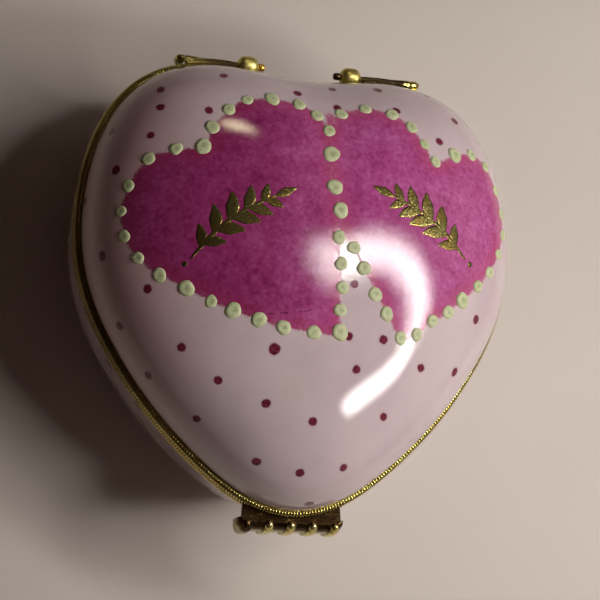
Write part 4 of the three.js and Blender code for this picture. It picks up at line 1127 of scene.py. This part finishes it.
# ------------------------------------------------------------------ clasp
def clasp():
    prof = np.array([(CLASP_TOP, 25.25, 24.90), (0.50, 25.42, 24.90), (0.42, 25.62, 24.90), (0.29, 25.80, 24.90), (0.12, 25.94, 24.91), (-0.1, 26.06, 24.93), (-0.4, 26.16, 24.95),
                     (-0.6, 26.20, 24.98), (-1.0, 26.24, 25.00), (-1.4, 26.26, 25.02), (-1.8, 26.26, 25.05), (-2.2, 26.26, 25.10), (-2.5, 26.25, 25.30),
                     (-2.70, 26.22, 25.48), (-2.82, 26.16, 25.60), (-2.88, 26.08, 25.68), (CLASP_LOW, 25.98, 25.78)])
    zs = np.interp(np.linspace(0, 1, 44), np.linspace(0, 1, len(prof)), prof[:, 0])
    outs, inns = np.interp(-zs, -prof[:, 0], prof[:, 1]), np.interp(-zs, -prof[:, 0], prof[:, 2])
    nu = 181
    us = np.linspace(-1, 1, nu)
    half = []
    for z in zs:                                            # rounded lower corners, barely rounded upper ones
        d = z - (CLASP_LOW + CORNER)
        h = CLASP_HALF if d >= 0 else CLASP_HALF - CORNER + math.sqrt(max(0.0, CORNER ** 2 - d * d))
        d2 = (CLASP_TOP - 0.3) - z
        if d2 < 0:
            h = min(h, CLASP_HALF - 0.3 + math.sqrt(max(0.0, 0.09 - d2 * d2)))
        half.append(h)
    verts = []
    for j, z in enumerate(zs):
        for u in us:
            x = u * half[j]
            k = round(x / RIB_PITCH)
            q = (x - k * RIB_PITCH) / RIB_HALF
            rib = RIB_HIGH * math.sqrt(1 - q * q) if abs(q) < 1 and abs(k) <= 2 else 0.0
            fade = min(1.0, max(0.0, (CLASP_TOP - z) / 0.5)) * min(1.0, max(0.0, (z - CLASP_LOW) / 0.25)) ** 0.5
            e = max(0.0, abs(x) - (CLASP_HALF - 1.1)) / 1.1
            ends = 0.75 * (1 - math.sqrt(1 - min(1.0, e * e * 0.96)))
            yo = max(outs[j] + rib * fade - ends, inns[j] + 0.10)
            verts.append((x, -yo, z))
    front = len(verts)
    for j, z in enumerate(zs):
        for u in us:
            verts.append((u * half[j], -inns[j], z))
    v = np.array(verts)
    f = []
    rows = len(zs)

    def idx(s, j, i):
        return s * front + j * nu + i

    for j in range(rows - 1):
        for i in range(nu - 1):
            f.append((idx(0, j, i), idx(0, j, i + 1), idx(0, j + 1, i + 1), idx(0, j + 1, i)))
            f.append((idx(1, j, i), idx(1, j + 1, i), idx(1, j + 1, i + 1), idx(1, j, i + 1)))
        f.append((idx(0, j, 0), idx(0, j + 1, 0), idx(1, j + 1, 0), idx(1, j, 0)))
        f.append((idx(0, j, nu - 1), idx(1, j, nu - 1), idx(1, j + 1, nu - 1), idx(0, j + 1, nu - 1)))
    for i in range(nu - 1):
        f.append((idx(0, 0, i), idx(1, 0, i), idx(1, 0, i + 1), idx(0, 0, i + 1)))
        f.append((idx(0, rows - 1, i), idx(0, rows - 1, i + 1), idx(1, rows - 1, i + 1), idx(1, rows - 1, i)))
    ob = make("clasp", v, [np.array(f)], MAT_BRASS, None)
    tidy(ob)
    # flange from the lid's mount out to the tongue
    t = np.linspace(-0.232, 0.232, 60)
    fx, fy = edge(t, 0.16)
    plan = [(x, y) for x, y in zip(fx, fy)] + [(FLANGE_HALF, -25.35), (-FLANGE_HALF, -25.35)]
    m = len(plan)
    fv = np.array([(x, y, FLANGE_LOW) for x, y in plan] + [(x, y, FLANGE_TOP) for x, y in plan])
    k = np.arange(m)
    ff = [np.stack([k, (k + 1) % m, (k + 1) % m + m, k + m], -1), np.array([tuple(range(m))]), np.array([tuple(range(m, 2 * m))])]
    ob = boolean(ob, tidy(make("c", fv, ff, MAT_BRASS, None)), "UNION")
    # the ribs carry on over the rounded top
    path = np.array([(25.22, 0.30), (25.32, 0.44), (25.50, 0.47), (25.68, 0.40), (25.86, 0.24), (26.00, 0.02), (26.10, -0.25), (26.14, -0.55), (26.10, -0.8)])
    tall = [0.05, 0.16, 0.22, 0.24, 0.25, 0.26, 0.25, 0.18, 0.05]
    d = np.gradient(path, axis=0)
    d /= np.linalg.norm(d, axis=1)[:, None]
    side = np.stack([-d[:, 1], d[:, 0]], -1)
    side *= np.sign(side[:, :1] + side[:, 1:])
    m, a = 20, TAU * np.arange(20) / 20
    for k in range(-2, 3):
        rv = [(k * RIB_PITCH + 0.44 * math.cos(b), -(q[0] + w[0] * h * math.sin(b)), q[1] + w[1] * h * math.sin(b)) for q, w, h in zip(path, side, tall) for b in a]
        i, j = np.meshgrid(np.arange(len(path) - 1), np.arange(m), indexing="ij")
        o1, o2 = i * m + j, i * m + (j + 1) % m
        rf = [np.stack([o1, o2, o2 + m, o1 + m], -1).reshape(-1, 4), np.array([tuple(range(m))]), np.array([tuple((len(path) - 1) * m + q for q in range(m))])]
        ob = boolean(ob, tidy(make("c", np.array(rv), rf, MAT_BRASS, None)), "UNION")
    cv, cf = ring_mesh([(-0.05, -1.3), (-0.05, 0.04), (3, 0.04), (3, -1.3)], 720)
    ob = boolean(ob, make("c", cv, cf, MAT_BRASS, None), "DIFFERENCE")
    # snap ridge behind
    seg, r = 24, 0.20
    rv, rf = [], []
    for x in (-1.6, -1.5, 1.5, 1.6):
        rr = r * (0.5 if abs(x) > 1.55 else 1)
        rv += [(x, -25.14 + rr * math.cos(TAU * k / seg), -2.3 + rr * math.sin(TAU * k / seg)) for k in range(seg)]
    for j in range(3):
        for k in range(seg):
            rf.append((j * seg + k, j * seg + (k + 1) % seg, (j + 1) * seg + (k + 1) % seg, (j + 1) * seg + k))
    ro = make("r", np.array(rv), [np.array(rf), np.array([tuple(range(seg))]), np.array([tuple(3 * seg + k for k in range(seg))])], MAT_BRASS, None)
    tidy(ro)
    ob = boolean(ob, ro, "UNION")
    return finish_piece(ob, "clasp_plate_fine", "lid", [MAT_CLASP], "clasp_plate", angle=50)


clasp()

# pieces whose CAD shape is right: the catch and the cement beds, with bevelled edges and real materials
for node, mat, wide in (("clasp_catch", MAT_BRASS, 0.06), ("lid_cement_bed", MAT_CEMENT, 0.03), ("base_cement_bed", MAT_CEMENT, 0.03)):
    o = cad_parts[node]
    o.data.materials.clear()
    o.data.materials.append(mat)
    m = o.modifiers.new("edge", "BEVEL")
    m.width = wide * MM
    m.segments = 2
    m.limit_method = "ANGLE"
    m.angle_limit = math.radians(35)

# ------------------------------------------------------------------ stage
def floor():
    t = Tree("floor_pale")
    c = t.mix(t.ramp(t.noise(0.02, 3.0), 0.3, 0.7), (0.665, 0.595, 0.545), (0.695, 0.63, 0.58))
    m = t.set(color=c, rough=0.75, normal=t.bump(t.noise(0.6, 3.0), 0.03))
    bpy.ops.mesh.primitive_plane_add(size=3.0, location=(0, 0, 0))
    o = bpy.context.object
    o.name = "floor"
    o.data.materials.append(m)


floor()

# camera: steep view from the front left
R_CAM = None


def camera():
    az, el, roll = math.radians(-58.572), math.radians(69.487), math.radians(-61.311)
    f_px, scale, tx, ty = 1844.87, 9.0951, -0.386, -0.936
    D = np.array([math.sin(az) * math.cos(el), -math.cos(az) * math.cos(el), math.sin(el)])
    F = -D
    r0 = np.array([math.cos(az), math.sin(az), 0.0])
    d0 = np.cross(F, r0)
    c, s = math.cos(roll), math.sin(roll)
    r, d = c * r0 + s * d0, -s * r0 + c * d0
    rot = np.array([r, d, F])
    pos = -rot.T @ np.array([tx, ty, f_px / scale]) + np.array([VIEW_SHIFT, SHIFT, SEAM])
    cam = bpy.data.cameras.new("camera")
    cam.sensor_width = 36.0
    cam.lens = f_px / 600.0 * 36.0
    cam.clip_start, cam.clip_end = 0.005, 10.0
    ob = bpy.data.objects.new("camera", cam)
    bpy.context.scene.collection.objects.link(ob)
    m = Matrix(((r[0], -d[0], -F[0], pos[0] * MM), (r[1], -d[1], -F[1], pos[1] * MM), (r[2], -d[2], -F[2], pos[2] * MM), (0, 0, 0, 1)))
    ob.matrix_world = m
    bpy.context.scene.camera = ob


camera()


def area(name, at, towards, size, radiance, colour=(1, 1, 1), shape="DISK", size_y=None, spread=None):
    """at and towards in mm of the row frame, size in mm, radiance relative to white"""
    li = bpy.data.lights.new(name, "AREA")
    li.shape = shape
    li.size = size * MM
    a = math.pi * (size * MM / 2) ** 2
    if size_y:
        li.shape = "ELLIPSE" if shape == "DISK" else "RECTANGLE"
        li.size_y = size_y * MM
        a = size * size_y * MM * MM * (math.pi / 4 if shape == "DISK" else 1)
    elif shape == "SQUARE":
        a = (size * MM) ** 2
    li.energy = radiance * math.pi * a
    li.color = colour
    if spread:
        li.spread = spread
    ob = bpy.data.objects.new(name, li)
    bpy.context.scene.collection.objects.link(ob)
    at, towards = Vector(at) * MM, Vector(towards) * MM
    ob.location = at
    ob.rotation_mode = "QUATERNION"
    ob.rotation_quaternion = (towards - at).to_track_quat("-Z", "Y")
    return ob


# a curved soft lamp on the right: the two edges of its face
LAMP_OUTER = [(45.5, 40.5, 165.1), (51.3, 43.8, 163.0), (55.7, 46.5, 161.5), (63.9, 48.2, 158.6), (73.8, 48.5, 154.9), (84.6, 46.9, 150.5), (95.7, 43.9, 145.4),
              (106.4, 38.3, 140.1), (115.1, 28.9, 135.8), (122.1, 16.6, 131.9), (126.8, 3.4, 128.5), (129.1, -8.3, 125.9), (129.3, -18.2, 124.3), (128.3, -27.8, 123.3),
              (127.5, -38.4, 121.2), (125.9, -47.9, 119.4), (121.9, -55.1, 120.2), (114.6, -61.0, 124.1), (104.3, -68.6, 129.2), (90.1, -78.4, 134.7)]
LAMP_INNER = [(53.0, 30.4, 165.0), (57.7, 30.8, 163.7), (63.1, 32.6, 161.9), (69.3, 34.8, 159.4), (77.0, 35.4, 156.3), (85.5, 33.2, 152.9), (93.4, 27.9, 149.7),
              (100.5, 20.1, 146.7), (106.8, 11.1, 143.5), (111.8, 1.9, 140.2), (115.5, -6.7, 137.2), (117.7, -15.0, 134.6), (117.8, -22.9, 133.3), (115.9, -29.8, 133.5),
              (113.0, -35.6, 134.3), (108.9, -39.9, 136.2), (102.8, -43.2, 139.5), (95.4, -47.8, 143.1), (86.9, -54.5, 146.2), (78.9, -64.2, 147.3)]


def curved_lamp(radiance, colour):
    a, b = catmull(LAMP_OUTER, 60), catmull(LAMP_INNER, 60)
    v = np.stack([a, b], 1).reshape(-1, 3) + np.array([VIEW_SHIFT, 0, 0])
    i = np.arange(59) * 2
    t = bpy.data.materials.new("lamp_face")
    t.use_nodes = True
    nt = t.node_tree
    nt.nodes.clear()
    em, out = nt.nodes.new("ShaderNodeEmission"), nt.nodes.new("ShaderNodeOutputMaterial")
    em.inputs[0].default_value = (*colour, 1)
    em.inputs[1].default_value = radiance
    nt.links.new(em.outputs[0], out.inputs[0])
    ob = make("curved_lamp", v, [np.stack([i, i + 1, i + 3, i + 2], -1)], t, None)
    ob.name = "curved_lamp"


curved_lamp(23.5, (1.0, 0.955, 0.91))
# small lamp behind, seen only as a glint
o = area("lamp_back", (4, 134, 140), (-9.5, 15, 27), 36, 14.0, (1.0, 0.86, 0.56), "DISK", 13.0)
o.visible_diffuse = False
# large soft fill from above right
area("soft_fill", (300, 60, 230), (0, 0, 10), 240, 0.30, (1.0, 0.95, 0.91), "SQUARE")
world = bpy.data.worlds.new("studio")
bpy.context.scene.world = world
world.use_nodes = True
wt = world.node_tree
bg = wt.nodes["Background"]
tc = wt.nodes.new("ShaderNodeTexCoord")
dt = wt.nodes.new("ShaderNodeVectorMath")
dt.operation = "DOT_PRODUCT"
dt.inputs[1].default_value = (1.0, -0.20, -0.70)
wt.links.new(tc.outputs["Generated"], dt.inputs[0])
mr = wt.nodes.new("ShaderNodeMapRange")
mr.inputs["From Min"].default_value, mr.inputs["From Max"].default_value = -0.15, 0.95
wt.links.new(dt.outputs["Value"], mr.inputs["Value"])
cr = wt.nodes.new("ShaderNodeValToRGB")
cr.color_ramp.elements[0].color = (0.014, 0.0065, 0.004, 1)
cr.color_ramp.elements[1].color = (0.34, 0.29, 0.25, 1)
wt.links.new(mr.outputs[0], cr.inputs[0])
# a low bright band at the front left, as from a pale table top and wall
sx = wt.nodes.new("ShaderNodeSeparateXYZ")
wt.links.new(tc.outputs["Generated"], sx.inputs[0])


def world_range(value, low, high):
    n = wt.nodes.new("ShaderNodeMapRange")
    n.interpolation_type = "SMOOTHSTEP"
    n.inputs["From Min"].default_value, n.inputs["From Max"].default_value = low, high
    wt.links.new(value, n.inputs["Value"])
    return n.outputs[0]


d2 = wt.nodes.new("ShaderNodeVectorMath")
d2.operation = "DOT_PRODUCT"
d2.inputs[1].default_value = (-0.35, -0.94, 0.0)
wt.links.new(tc.outputs["Generated"], d2.inputs[0])
bm1 = wt.nodes.new("ShaderNodeMath")
bm1.operation = "MULTIPLY"
wt.links.new(world_range(sx.outputs[2], 0.42, 0.06), bm1.inputs[0])
wt.links.new(world_range(d2.outputs["Value"], 0.55, 0.85), bm1.inputs[1])
wm = wt.nodes.new("ShaderNodeMix")
wm.data_type = "RGBA"
wt.links.new(bm1.outputs[0], wm.inputs[0])
wt.links.new(cr.outputs[0], wm.inputs[6])
wm.inputs[7].default_value = (0.23, 0.19, 0.15, 1)
wt.links.new(wm.outputs[2], bg.inputs[0])
bg.inputs[1].default_value = 1.0

sc = bpy.context.scene
sc.view_settings.view_transform = "Standard"
sc.view_settings.look = "None"
